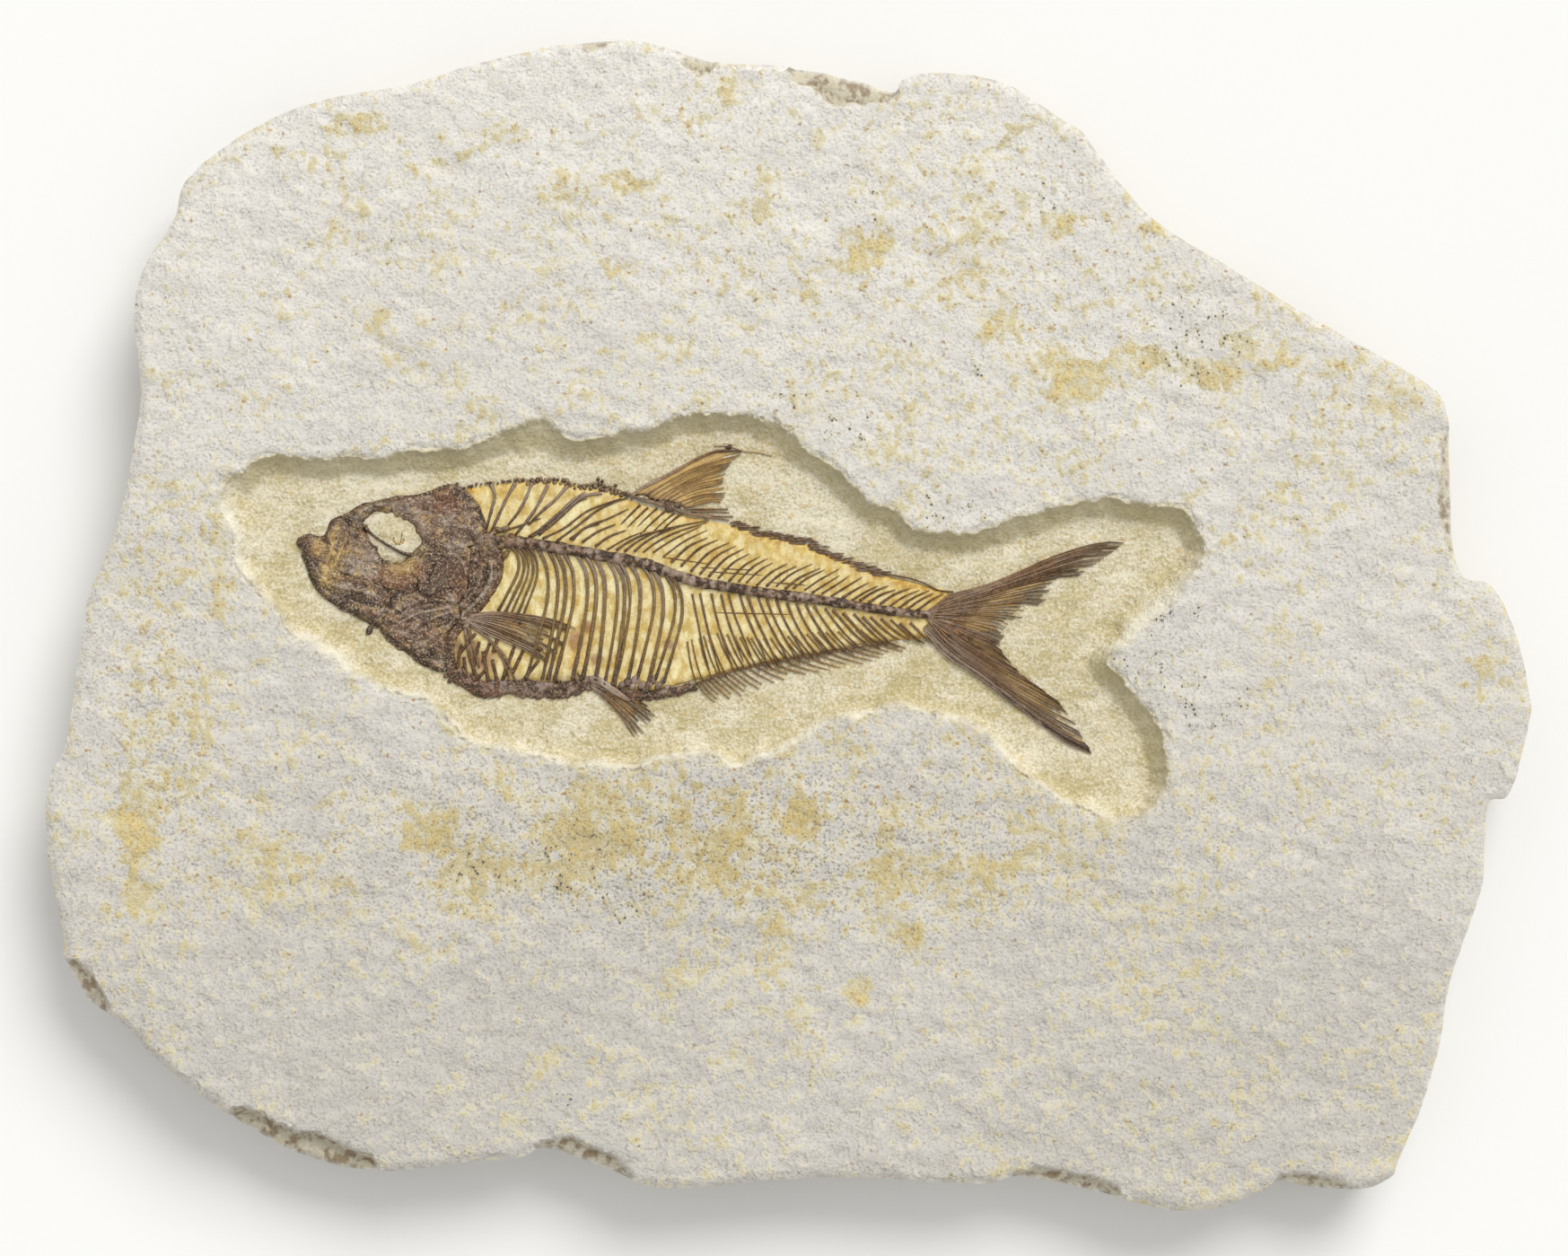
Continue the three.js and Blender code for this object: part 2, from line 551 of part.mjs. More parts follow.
// The backbone with every spine and rib grown on it, as one comb.
function makeBackbone() {
  const upperSide = neuralSpines().flatMap((bone) => {
    const { left, right } = boneSides(bone);
    return [...left, ...right.reverse()];
  });
  const lowerSide = ribsAndHaemalSpines().flatMap((bone) => {
    const { left, right } = boneSides(bone);
    return [...right, ...left.reverse()];
  });
  const front = [[-47, 13.2], [-47, 14.8]];
  const back = [[21.6, 2.6], [21.8, 1.9], [21.6, 1.2]];
  const loop = [...front, ...upperSide, ...back, ...lowerSide.reverse()].reverse();
  const heightOf = (x, y) => {
    const away = Math.abs(y - heightAt(SPINE_LINE, x));
    return FILM_TOP + mix(0.85, 0.45, smoothstep(0.5, 3, away));
  };
  return reliefPlate([loop], 0, FILM_TOP, heightOf);
}

// Bones of the head are crushed flat, with rounded lumps and lower edges.
function headBone(loops, spacing, most, lumpSize) {
  const edge = loops.map((loop) => smoothLine(loop, 1.5, true));
  const heightOf = (x, y) => {
    const fromEdge = smoothstep(0, 1.6, nearest(edge.flat(), x, y));
    return FLOOR + mix(0.55, most, fromEdge) + 0.35 * (noise(x, y, lumpSize) - 0.5);
  };
  return reliefPlate(edge, spacing, FLOOR, heightOf);
}

const fossil = new THREE.Group();

function add(name, geometry, color, roughness) {
  const material = new THREE.MeshStandardMaterial({ color, roughness, metalness: 0 });
  const mesh = new THREE.Mesh(geometry, material);
  mesh.name = name;
  fossil.add(mesh);
}

add("slab", makeSlab(), 0xd8d4ca, 0.9);
add("fish_body", reliefPlate([smoothLine(FILM_OUTLINE, 2.2, true)], 0, FLOOR, () => FILM_TOP), 0xbda668, 0.75);
add("skull", headBone([SKULL_OUTLINE, EYE_SOCKET], 2.2, 1.5, 3.2), 0x816c5c, 0.5);
add("lower_jaw", headBone([LOWER_JAW_OUTLINE], 1.9, 1.3, 2.6), 0x745d4e, 0.5);
add("throat", headBone([THROAT_OUTLINE], 2.1, 1.1, 2.8), 0x6f5a55, 0.5);
add("gill_cover", headBone([GILL_COVER_OUTLINE], 1.9, 1.45, 4.2), 0x695346, 0.45);
add("shoulder_girdle", headBone([SHOULDER_OUTLINE], 2.0, 1.2, 2.4), 0x74605a, 0.5);
add("backbone", makeBackbone(), 0x90785c, 0.5);
add("back_scutes", scuteRow(BACK_LINE, 20, 0.8, 1.5, 1), 0x5e4a38, 0.5);
add("front_belly_scutes", scuteRow(FRONT_KEEL_LINE, 10, 0.8, 1.3, -1), 0x5a4a40, 0.5);
add("rear_belly_scutes", scuteRow(REAR_KEEL_LINE, 5, 0.7, 1.2, -1), 0x5a4a40, 0.5);
add("dorsal_fin", fin({
  root: [[-25.8, 21.8], [-23.4, 20.8], [-19.6, 19.6], [-16, 18.9], [-12, 18.1], [-9.8, 17.6]],
  tips: [[-7.6, 29.2], [-9.6, 27.4], [-10.8, 25.4], [-10.8, 23], [-10, 20.6], [-8.4, 18.6]],
  front: [[-25.8, 21.8], [-23.4, 23.4], [-19.6, 25.8], [-16, 28], [-12.2, 29.6], [-7.6, 29.2]],
  back: [[-9.8, 17.6], [-9.1, 18.1], [-8.4, 18.6]],
  rays: 12, steps: 4, rayHeight: 0.7, webHeight: 0.35,
}), 0x9a8262, 0.6);
add("pectoral_fin", fin({
  root: [[-53, 1.6], [-53.4, 1], [-53.6, 0.4]],
  tips: [[-35.6, -0.6], [-38.4, -2.8], [-40.2, -5.6], [-42.8, -6.6], [-46, -9]],
  front: [[-53, 1.6], [-50.8, 2.2], [-46, 2], [-41.6, 1.4], [-38.4, 0.6], [-35.6, -0.6]],
  back: [[-53.6, 0.4], [-52.8, -2.4], [-51.8, -4.8], [-50.2, -6.8], [-48.2, -8.2], [-46, -9]],
  rays: 10, steps: 4, rayHeight: 0.8, webHeight: 0.4, ground: FILM_TOP,
}), 0x846c54, 0.55);
add("pelvic_fin", fin({
  root: [[-32.6, -10.9], [-33, -11.6], [-32.6, -12.4]],
  tips: [[-20.8, -15.4], [-22.6, -17.2], [-23.4, -19], [-24.8, -20.4]],
  front: [[-32.6, -10.9], [-29.8, -11.4], [-27.2, -12.2], [-24.6, -13.4], [-20.8, -15.4]],
  back: [[-32.6, -12.4], [-30.8, -13.6], [-28.6, -15.6], [-26.8, -18], [-24.8, -20.4]],
  rays: 8, steps: 3, rayHeight: 0.7, webHeight: 0.35,
}), 0x6e5642, 0.55);
add("anal_fin", fin({
  root: [[21.8, -2.8], [18.2, -3.2], [13.4, -3.8], [6.8, -5], [0.2, -6.2], [-6.2, -7.4], [-12.8, -9.3], [-15.4, -10]],
  tips: [[22.2, -3.6], [17, -4.8], [11, -6.2], [6.2, -7.6], [0.6, -8.6], [-4.6, -10.6], [-7.6, -12], [-11.6, -13.8]],
  front: [[21.8, -2.8], [22.2, -3.6]],
  back: [[-15.4, -10], [-11.6, -13.8]],
  rays: 24, steps: 2, rayHeight: 0.6, webHeight: 0.3,
}), 0x9a8358, 0.6);
add("tail_fin", fin({
  root: [[27.6, 5.4], [25.6, 2.8], [24, 0.6], [23.2, -2.6]],
  tips: [[56.8, 13.8], [52, 10.8], [48.4, 8.2], [44, 4.4], [40.4, 1.8], [37.4, -0.4], [35.6, -2.6], [36, -5.2],
    [39.6, -8.2], [44, -12], [48, -15.6], [51.6, -21.8]],
  front: [[27.6, 5.4], [30.8, 5.8], [36, 7.4], [43.2, 10.8], [50.2, 13], [56.8, 13.8]],
  back: [[23.2, -2.6], [25.2, -4.4], [32.2, -8.2], [39.6, -14.2], [46.8, -19], [51.6, -21.8]],
  rays: 20, steps: 5, rayHeight: 0.9, webHeight: 0.4,
}), 0x7a624a, 0.55);

export default fossil;
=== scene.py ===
import math

import bmesh
import bpy
import numpy as np
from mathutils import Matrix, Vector
from mathutils.geometry import delaunay_2d_cdt


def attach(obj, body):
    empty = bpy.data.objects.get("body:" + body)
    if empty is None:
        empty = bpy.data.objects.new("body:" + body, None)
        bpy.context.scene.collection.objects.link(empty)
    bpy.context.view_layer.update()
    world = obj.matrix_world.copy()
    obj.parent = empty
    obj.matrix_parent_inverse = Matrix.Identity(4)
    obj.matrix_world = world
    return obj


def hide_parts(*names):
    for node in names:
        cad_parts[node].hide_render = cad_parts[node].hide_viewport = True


# A fossil herring in a split limestone slab, dressed with its own bones, stains and stone surface.
# Lists and sizes are in millimetres: +X runs from snout to tail, +Y towards the back, +Z up.

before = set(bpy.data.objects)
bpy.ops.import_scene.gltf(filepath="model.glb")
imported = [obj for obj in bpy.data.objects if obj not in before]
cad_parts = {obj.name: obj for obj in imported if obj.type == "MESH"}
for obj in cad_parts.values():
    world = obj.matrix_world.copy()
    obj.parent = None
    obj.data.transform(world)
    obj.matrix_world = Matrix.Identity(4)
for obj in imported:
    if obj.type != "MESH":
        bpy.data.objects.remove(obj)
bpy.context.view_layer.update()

MM = 0.001
SLAB_TOP = 16.0
FLOOR = 12.4
FILM = 0.3  # thickness of the ochre film that the bones lie on
WALL_NORTH = 3.3  # run of the shaded wall on the side of the fish's back
WALL_SOUTH = 1.6  # and of the wall below its belly
UNDERCUT = 3.2  # how far the broken side draws in at its foot

# Distance between mesh points on the split face, the recess wall, its floor and the head.
FACE_SPACING = 0.82
WALL_SPACING = 0.42
FLOOR_SPACING = 0.72
HEAD_SPACING = 0.19

SLAB_OUTLINE = [
    (-36, 98), (-42.5, 97), (-52, 94.5), (-64, 91), (-76, 89), (-86.5, 85.5), (-95.5, 80),
    (-101.5, 74.5), (-103.5, 68), (-108, 60.5), (-110, 53.5), (-109, 38.5), (-111, 25.5),
    (-113.5, 15), (-116.5, 8), (-118, 4), (-119.5, -6), (-121.5, -20), (-124, -25), (-125, -32.5),
    (-124, -41.5), (-122, -51.5), (-121.5, -56.5), (-117.5, -63.5), (-111.5, -67.5), (-106.5, -73),
    (-97, -80.5), (-87, -87), (-78.5, -90.5), (-69, -92), (-55, -90.5), (-45, -89.5), (-41, -88),
    (-32, -91), (-23, -94.5), (-13, -94.5), (-3.5, -93.5), (10, -93), (32, -94), (38.5, -93),
    (50, -95), (61.5, -98), (67, -98.5), (73, -98), (80.5, -95), (82.5, -93.5), (87.5, -94.5),
    (96, -95), (101.5, -93), (103, -90), (107.5, -79), (110, -69.5), (111.5, -60), (114, -52.5),
    (117, -44), (118, -30.5), (121.5, -28.5), (125, -16.5), (125, -12), (122, 0.5), (118.5, 6.5),
    (113, 9.5), (111.5, 24.5), (111, 36), (107, 41), (93, 49), (78, 58), (63.5, 67), (57.5, 72.5),
    (50, 82.5), (45.5, 85.5), (37, 91), (27.5, 93), (19.5, 92), (18, 90), (11, 92), (0.5, 94),
    (-12.5, 95), (-23.5, 98), (-29.5, 98.5),
]

RECESS_RIM = [
    (-94.5, 23.5), (-94.5, 18), (-93.5, 14), (-92, 9), (-88, 4.5), (-83.5, -1), (-78.5, -4),
    (-71.5, -9), (-66, -11), (-58.5, -14), (-54, -19.5), (-49.5, -21), (-42.5, -21.5),
    (-37.5, -23), (-30, -24), (-24.5, -23.5), (-20.5, -22.5), (-13.5, -21.2), (-9, -23.5),
    (-3.5, -22), (1.5, -20), (5, -17.5), (9, -15.5), (13.5, -15), (18.5, -13.5), (24, -15),
    (28.5, -16), (32, -17), (36.5, -21.5), (40, -25), (43.5, -28), (50.5, -31.5), (55.5, -32.5),
    (60, -31.5), (63.5, -26.5), (63, -18.5), (57, -10.5), (54, -6), (58.5, -1.5), (65.5, 5.5),
    (69.5, 10.5), (70.5, 14), (68.5, 17), (65, 19.5), (60, 20.5), (54.5, 21.5), (50.5, 21),
    (43.5, 19), (37.5, 17.5), (33, 16), (28.5, 15), (24, 15.5), (18.5, 18), (13, 21.5),
    (10, 24.5), (7, 27), (3, 29), (0.5, 32), (-3, 34.5), (-8, 35.5), (-16, 35.5), (-21, 34),
    (-31.5, 32), (-38, 31.5), (-41, 35), (-48.5, 32), (-54, 29.5), (-64, 29.5), (-68, 28),
    (-73, 28.5), (-80, 28), (-88.5, 28),
]

# Places where the wall runs out more gently: x, y, reach of the place and extra run.
GENTLE_WALLS = [(-42, 34, 8, 2.4), (62, 2, 11, 4.5), (-93, 16, 14, 2.6), (-80, -3, 10, 1.2)]

# Ledges where a flake has come off the slab's edge: its two ends, width and depth.
EDGE_LEDGES = [
    ((0.4, 94.5), (18.5, 91), 3.8, 2.6),
    ((-18, 96), (-12, 95), 2.4, 1.5),
    ((-36, 98), (-29.5, 98), 1.6, 1.0),
    ((-94, -82), (-69, -92), 3.6, 2.6),
    ((-42.5, -88), (-26.5, -93), 2.2, 1.6),
    ((38, -93), (56.5, -96.5), 2.2, 1.5),
    ((82.5, -93), (94, -95), 1.9, 1.3),
    ((-122, -57), (-115, -65.5), 2.4, 2.0),
    ((111, 33), (112, 11), 1.9, 1.0),
]

# Ochre stains on the split face: x, y and their two half widths.
STAINS = [
    (50, 42, 5, 4), (58, 45, 4.5, 3.4), (83, 45, 5, 3.6), (92, 43, 3.4, 2.2), (71, 42, 4, 2.2),
    (-9, 90, 4, 2.6), (4, 84, 3.8, 2.4), (15, 63, 4, 3), (4, 55, 2.4, 3.4), (36, 52, 3, 3),
    (46, 67, 2.4, 1.8), (62, 67, 2, 1.6), (-36, 73, 3.4, 2.4), (-27, 75, 2.6, 2), (-72, 84, 4.5, 2),
    (-48, 83, 3.6, 1.6), (-27, 60, 2.2, 1.6), (-69, 51, 2.4, 3), (-60, -35, 4.2, 3), (3, -33, 2.8, 3.4),
    (-36, -35, 2.4, 1.8), (12, -62, 2.2, 2.4), (21, -53, 2, 2.4), (-110, -40, 2.4, 7), (-96, 8, 3, 8),
]

# Clusters of tiny black specks on the split face: x, y and radius.
SPECK_CLUSTERS = [
    (68, 49, 7), (14, 70, 2.6), (44, 71, 2.8), (-1, 36, 3), (63, -7, 5.5), (71, -13, 5), (65, 1, 4),
    (-36, -40, 5.5), (-54, -41, 4), (-68, 65, 2), (-38, -81, 2.4), (-27, -46, 4), (31, 42, 2),
    (61, -22, 2.8), (9, 34, 5), (26, 19, 3.4), (-48, -44, 3), (-72, 64, 1.8), (32, 21, 2.4),
]

FILM_OUTLINE = [
    (-54, 23), (-53.6, 21.4), (-52.8, 19.6), (-52.2, 17.8), (-51.6, 16.2), (-50.4, 14.8),
    (-49.4, 13), (-48.9, 10.8), (-49.1, 8.6), (-50.1, 6.2), (-51.5, 4), (-53.2, 1.8), (-55.2, -0.4),
    (-56.5, -2), (-57, -4), (-57, -6.4), (-56.2, -8.2), (-53.6, -9.4), (-50.6, -10.2),
    (-38.8, -10.2), (-32, -10.2), (-26, -11), (-21.4, -10.8), (-16.6, -9.6), (-12.8, -8.6),
    (-6.2, -6.8), (0.2, -5.6), (6.8, -4.4), (13.4, -3.2), (18.2, -2.6), (22.2, -2.2),
    (24.8, -1.6), (26, 1), (26.6, 3.4), (27, 5.6), (21.4, 7), (14.8, 9), (8, 11.8), (0.4, 14.4),
    (-7.2, 16.2), (-11.6, 17.2), (-16, 18.2), (-19.6, 18.8), (-23.4, 20), (-26.8, 21.2),
    (-30, 22.4), (-34.4, 23.4), (-38.8, 24.2), (-44.8, 24.2), (-50.2, 23.6),
]

SKULL_OUTLINE = [
    (-82.6, 14.2), (-81.4, 12.6), (-79.2, 11.2), (-76.2, 9.6), (-73.2, 8.4), (-70.2, 7.6),
    (-67.6, 6.6), (-65.2, 6), (-63.2, 6), (-62.6, 7.2), (-62.4, 9.4), (-62, 11.4), (-60.8, 12.6),
    (-58.4, 12.8), (-55.8, 13.2), (-53.6, 13.6), (-51.8, 14.6), (-51, 16.2), (-51.4, 17.6),
    (-51.9, 19.4), (-53.2, 21.2), (-54.6, 22.4), (-56, 23.2), (-57.4, 23.4), (-60.4, 22.2),
    (-63.4, 21.6), (-67, 21.2), (-70.6, 20.4), (-72.4, 19.8), (-75, 18.2), (-76.8, 17.4),
    (-78.2, 14.8), (-80.4, 15),
]
EYE_OPENING = [
    (-71.5, 17.9), (-70.4, 18.9), (-68.6, 19.3), (-67, 18.8), (-65.6, 17.9), (-64.2, 17.2),
    (-62.8, 16.2), (-62, 15), (-62.4, 13.6), (-63.4, 12.4), (-64.6, 11.4), (-65.5, 10.9),
    (-66.9, 10.7), (-68.2, 11.2), (-69.2, 12.4), (-70, 14), (-71, 15.6), (-71.6, 16.8),
]
EYE_MIDDLE = (-66.9, 15.3)
EYE_BAR = [(-71.4, 16.7), (-70.3, 15.5), (-68.6, 14.2), (-66.6, 13), (-64.8, 12.1), (-63.1, 11.8)]
LOWER_JAW_OUTLINE = [
    (-81.6, 12), (-81, 10.2), (-80.4, 8.2), (-79.2, 6.2), (-77.8, 4.6), (-75.6, 3.2), (-73.2, 2),
    (-71.2, 1), (-69.4, -0.2), (-68.6, 1.2), (-67.6, 2.8), (-67.4, 4.8), (-68, 6), (-70.6, 7),
    (-73.6, 7.8), (-76.6, 9), (-79.6, 10.6),
]
THROAT_OUTLINE = [
    (-67, 5.6), (-66.6, 4.4), (-67, 2.8), (-67.8, 1), (-68.4, -0.8), (-66.8, -2.8), (-64.4, -4.4),
    (-61.4, -6.4), (-59.4, -7.4), (-57.6, -7.4), (-58, -5.4), (-58, -3.4), (-57.4, -1.2),
    (-56.2, 0.4), (-55.4, 2), (-55.8, 3.4), (-57.6, 3.8), (-59.6, 4.4), (-61.4, 5.2),
    (-63.2, 5.6), (-65.2, 5.4),
]
GILL_COVER_OUTLINE = [
    (-61.2, 11.8), (-61.8, 9.6), (-62, 7.2), (-61.4, 5.8), (-59.6, 5.2), (-57.6, 4.6),
    (-55.9, 4.1), (-55, 5), (-54.4, 6.6), (-54.2, 8.8), (-54, 11.2), (-54.1, 12.7),
    (-55.8, 12.5), (-58.4, 12.2),
]
SHOULDER_OUTLINE = [
    (-50.4, 15.4), (-51.6, 13.8), (-53.4, 12.8), (-53.2, 11.4), (-53.4, 9), (-53.6, 7),
    (-54.2, 4.8), (-55, 3.4), (-54.6, 1.6), (-55.6, 0), (-56.8, -1.6), (-57.4, -3.4),
    (-57.4, -5.8), (-56.8, -7.8), (-56, -8), (-56.3, -6), (-56.3, -3.6), (-55.5, -1.4),
    (-54, 0.6), (-52, 2.6), (-50.5, 4.4), (-49.1, 6.4), (-48.1, 8.8), (-47.9, 10.8),
    (-48.4, 12.8), (-49.2, 14.4),
]

HEAD_OUTLINE = [
    (-82.7, 14.2), (-82, 12), (-81, 9.4), (-79.2, 6), (-77.8, 4.4), (-75.6, 3), (-73.2, 1.8), (-71.2, 0.8),
    (-69.4, -0.4), (-68, -1.8), (-66.4, -3), (-64.4, -4.6), (-61.4, -6.6), (-59.4, -7.7), (-57.2, -8.2),
    (-55.8, -8.2), (-56, -6), (-56, -3.6), (-55.2, -1.4), (-53.8, 0.4), (-52, 2.4), (-50.4, 4.2), (-49, 6.2),
    (-47.9, 8.6), (-47.6, 10.8), (-48, 12.8), (-48.8, 14.4), (-50.2, 15.8), (-50.8, 17), (-51.2, 18.4),
    (-51.8, 19.8), (-53.2, 21.5), (-54.6, 22.6), (-56, 23.4), (-57.4, 23.6), (-60.4, 22.4), (-63.4, 21.8),
    (-67, 21.4), (-70.6, 20.6), (-72.4, 20), (-75, 18.4), (-76.9, 17.5), (-78.2, 15), (-80.4, 15.1),
    (-82.2, 14.6),
]

SPINE_LINE = [
    (-51, 14), (-48, 14), (-44, 13.8), (-38, 12.9), (-30.8, 11.6), (-24, 10.3), (-19.4, 8.6),
    (-14.9, 7.2), (-11.2, 6.6), (-5.7, 5.7), (1.8, 4.7), (8.4, 3.8), (15, 2.7), (20.2, 2), (24.4, 1.7),
]
VERTEBRAE = 46

# Each rib's x where it leaves the spine, its x at the bottom, and the y where it ends.
RIBS = [
    (-46.8, -48.8, 2.4), (-45.9, -47.8, 1.8), (-45.2, -47.0, 1.2), (-44.4, -46.1, 0.6),
    (-43.7, -45.3, 0.0), (-42.2, -44.1, -9.2), (-40.5, -41.4, -9.2), (-39.2, -40.4, -9.2),
    (-37.8, -39.3, -9.2), (-35.5, -36.3, -9.2), (-34.0, -34.6, -9.2), (-32.5, -32.4, -9.4),
    (-30.4, -30.9, -10.1), (-29.2, -29.5, -10.3), (-28.3, -29.2, -10.3), (-26.5, -26.9, -9.2),
    (-24.2, -25.4, -9.2), (-22.7, -23.9, -11.4), (-20.6, -22.3, -9.2), (-19.4, -20.9, -9.7),
]
LOWER_RIB_PIECES = [
    ((-50.2, -2.9), (-51.4, -6.2)), ((-46.1, -3.6), (-47.9, -8.9)), ((-44.4, -3.9), (-46.4, -8.1)),
    ((-41.9, -5.9), (-44.9, -9.7)), ((-52, -2.8), (-53, -7)), ((-48.8, -1.6), (-49.6, -4.6)),
    ((-55.0, -3.2), (-55.8, -7.4)), ((-53.9, -4.2), (-52.4, -9.4)), ((-51.4, -4.4), (-50.4, -9.8)),
    ((-49.8, -5.8), (-48.9, -10)), ((-54.6, -5.4), (-54.2, -9)), ((-47.4, -6.8), (-48.2, -10)),
    ((-52.6, -1.4), (-55.2, -4.6)), ((-50.6, -7.2), (-52.8, -9.6)),
]

# Crushed lumps where the last ribs meet the belly: x, y and radius.
BELLY_LUMPS = [
    (-27, -9.6, 0.7), (-26.2, -10.4, 0.6), (-25.6, -9.2, 0.8), (-24.6, -10.2, 0.7), (-23.4, -10, 0.6),
    (-22.6, -9.2, 0.7), (-21.8, -10.2, 0.7), (-21, -9.4, 0.55), (-28, -10.2, 0.6), (-24, -11, 0.5),
    (-20.4, -10.6, 0.5),
]

# Thin bones between the skull and the dorsal fin, from the back down to the spine.
SUPRANEURALS = [
    [(-50, 23.8), (-49.4, 21.7), (-49.9, 19.6), (-50.8, 16.3)],
    [(-45.9, 24), (-47.3, 21.6), (-48.5, 19), (-50.3, 15.1)],
    [(-43.1, 24), (-44, 21.7), (-45.3, 19.2), (-47.1, 16.9)],
    [(-40.4, 23.7), (-41.7, 21.1), (-43.1, 18.7), (-45.9, 15.2)],
    [(-37.2, 23.4), (-39.2, 21.1), (-41.3, 19.3), (-43.7, 16.9)],
    [(-34, 22.2), (-36.1, 21.1), (-38.5, 18.9), (-41.9, 16), (-43.7, 14.9)],
    [(-31.3, 22.3), (-34.6, 21.6), (-37, 19.6), (-40.1, 16.9), (-41.9, 15.1)],
]
FRONT_NEURALS = [
    [(-49.3, 15.5), (-45.6, 16.6), (-41.6, 18)],
    [(-43.4, 14.9), (-40.1, 16.6), (-35.8, 20.4), (-33.7, 21.4)],
    [(-41.3, 14.6), (-37.6, 16.4), (-33.6, 19.3), (-28, 21.4)],
    [(-38.9, 14.2), (-35.1, 17), (-31.6, 19.6), (-26.8, 21.6)],
    [(-36.7, 14.5), (-33.6, 16.7), (-30.6, 17.8), (-26.8, 19.6)],
    [(-36.3, 14.3), (-34.3, 16.3), (-31.7, 17)],
    [(-34.6, 14), (-32.1, 15.7), (-29, 17)],
    [(-32.4, 13.3), (-30.1, 14.9), (-27.2, 16)],
]
# Guide lines that a row of thin bones runs between, from the front of the fish to its tail.
NEURAL_GUIDES = [
    [(-30.6, 12.7), (-27.6, 14.4), (-24.6, 15.6)],
    [(-26.3, 12.5), (-23.6, 14.6), (-19.5, 16.4), (-14, 17.5)],
    [(-22.4, 12.2), (-19.6, 14), (-15.5, 16.1)],
    [(-19.3, 10.7), (-16.6, 13.2), (-13.7, 14.5)],
    [(-14.6, 8.4), (-12, 11.2), (-9, 12.8)],
    [(-7.9, 7.2), (-5.7, 9.4), (-3.5, 10.7)],
    [(-0.6, 6.3), (1.6, 8), (4.7, 9.4)],
    [(6, 5.2), (8.6, 6.8), (10.6, 8.2)],
    [(14, 3.6), (16.2, 5), (18.6, 5.8)],
    [(21.8, 2.4), (24, 4), (26.3, 5.3)],
]
FIN_SUPPORT_GUIDES = [
    [(-25, 20.2), (-26.8, 18.4), (-28.3, 16.9)],
    [(-17.6, 18.8), (-19.6, 17.2), (-21.4, 15.4)],
]
HAEMAL_GUIDES = [
    [(-16.2, 5.4), (-15.3, 0.9), (-14.4, -3.6), (-13.2, -7.8)],
    [(-12.7, 5.4), (-12, 2.1), (-10.8, -1.8), (-9.3, -6)],
    [(-6, 4.8), (-4.8, 1.7), (-3.2, -1.5), (-1.1, -5.7)],
    [(0.5, 3.8), (1.7, 0.9), (3.8, -2.4), (5.2, -4.2)],
    [(7.9, 2.4), (10.3, -0.3), (12.1, -2.1), (13.4, -3)],
    [(16.2, 0.9), (17.9, -0.6), (19.4, -1.7), (20.9, -2.6)],
    [(20.6, 0.3), (21.8, -0.9), (22.7, -1.8), (23.9, -2.7)],
]
ANAL_SUPPORT_GUIDES = [
    [(-17.1, -2.6), (-16.5, -6.3), (-15.6, -9.4)],
    [(-12.1, -1.2), (-10.8, -4.5), (-9.1, -7.8)],
    [(-4.5, -2.4), (-3.2, -4.5), (-1.4, -6.6)],
    [(4.1, -1.2), (5.7, -3), (7.2, -4.8)],
    [(12.4, -0.9), (14, -2.3), (15.8, -3.3)],
]
FINE_LINES = [
    [(-14.7, 9.7), (-11.7, 9.6)], [(-13.2, 9), (-4.2, 8.4)], [(-2.6, 7.2), (3.4, 6.7)],
    [(-20.8, 11.4), (-13.2, 10.3)], [(-12.1, 2.1), (0.4, 1.8)], [(-11, 9.5), (-6, 9.3)],
]
BACK_STRIP = [
    (-8.4, 17.2), (-4.9, 16), (-1.1, 15.1), (3.1, 14.3), (6.1, 12.8), (8.8, 11.6), (12.1, 10.3), (16.2, 8.8),
]
BACK_EDGE = [(15.8, 8.7), (20, 8), (23, 7.1), (25.4, 5.9), (28, 5.6)]

BACK_SCUTE_LINE = [
    (-55.1, 22.6), (-53.9, 23.4), (-52, 23.7), (-50, 24), (-47.9, 24.1), (-45.6, 24.4), (-43.1, 24.4),
    (-40.4, 24.6), (-37.6, 24.4), (-36.4, 23.7), (-34.3, 23.5), (-32.2, 23.8), (-30.7, 23.2),
    (-29.2, 22.8), (-27.4, 22.3), (-26.2, 22),
]
FRONT_KEEL = [
    (-57.5, -7.6), (-55.6, -8.4), (-53.4, -9.8), (-51.6, -10.8), (-49.6, -10.6), (-47, -10.4),
    (-43, -10.7), (-39, -10.9), (-35.8, -10.3), (-33.6, -9.4),
]
REAR_KEEL = [(-28, -11.2), (-25.6, -11.7), (-23, -11.7), (-20.6, -11.4), (-18, -10.9), (-15.8, -10.1)]

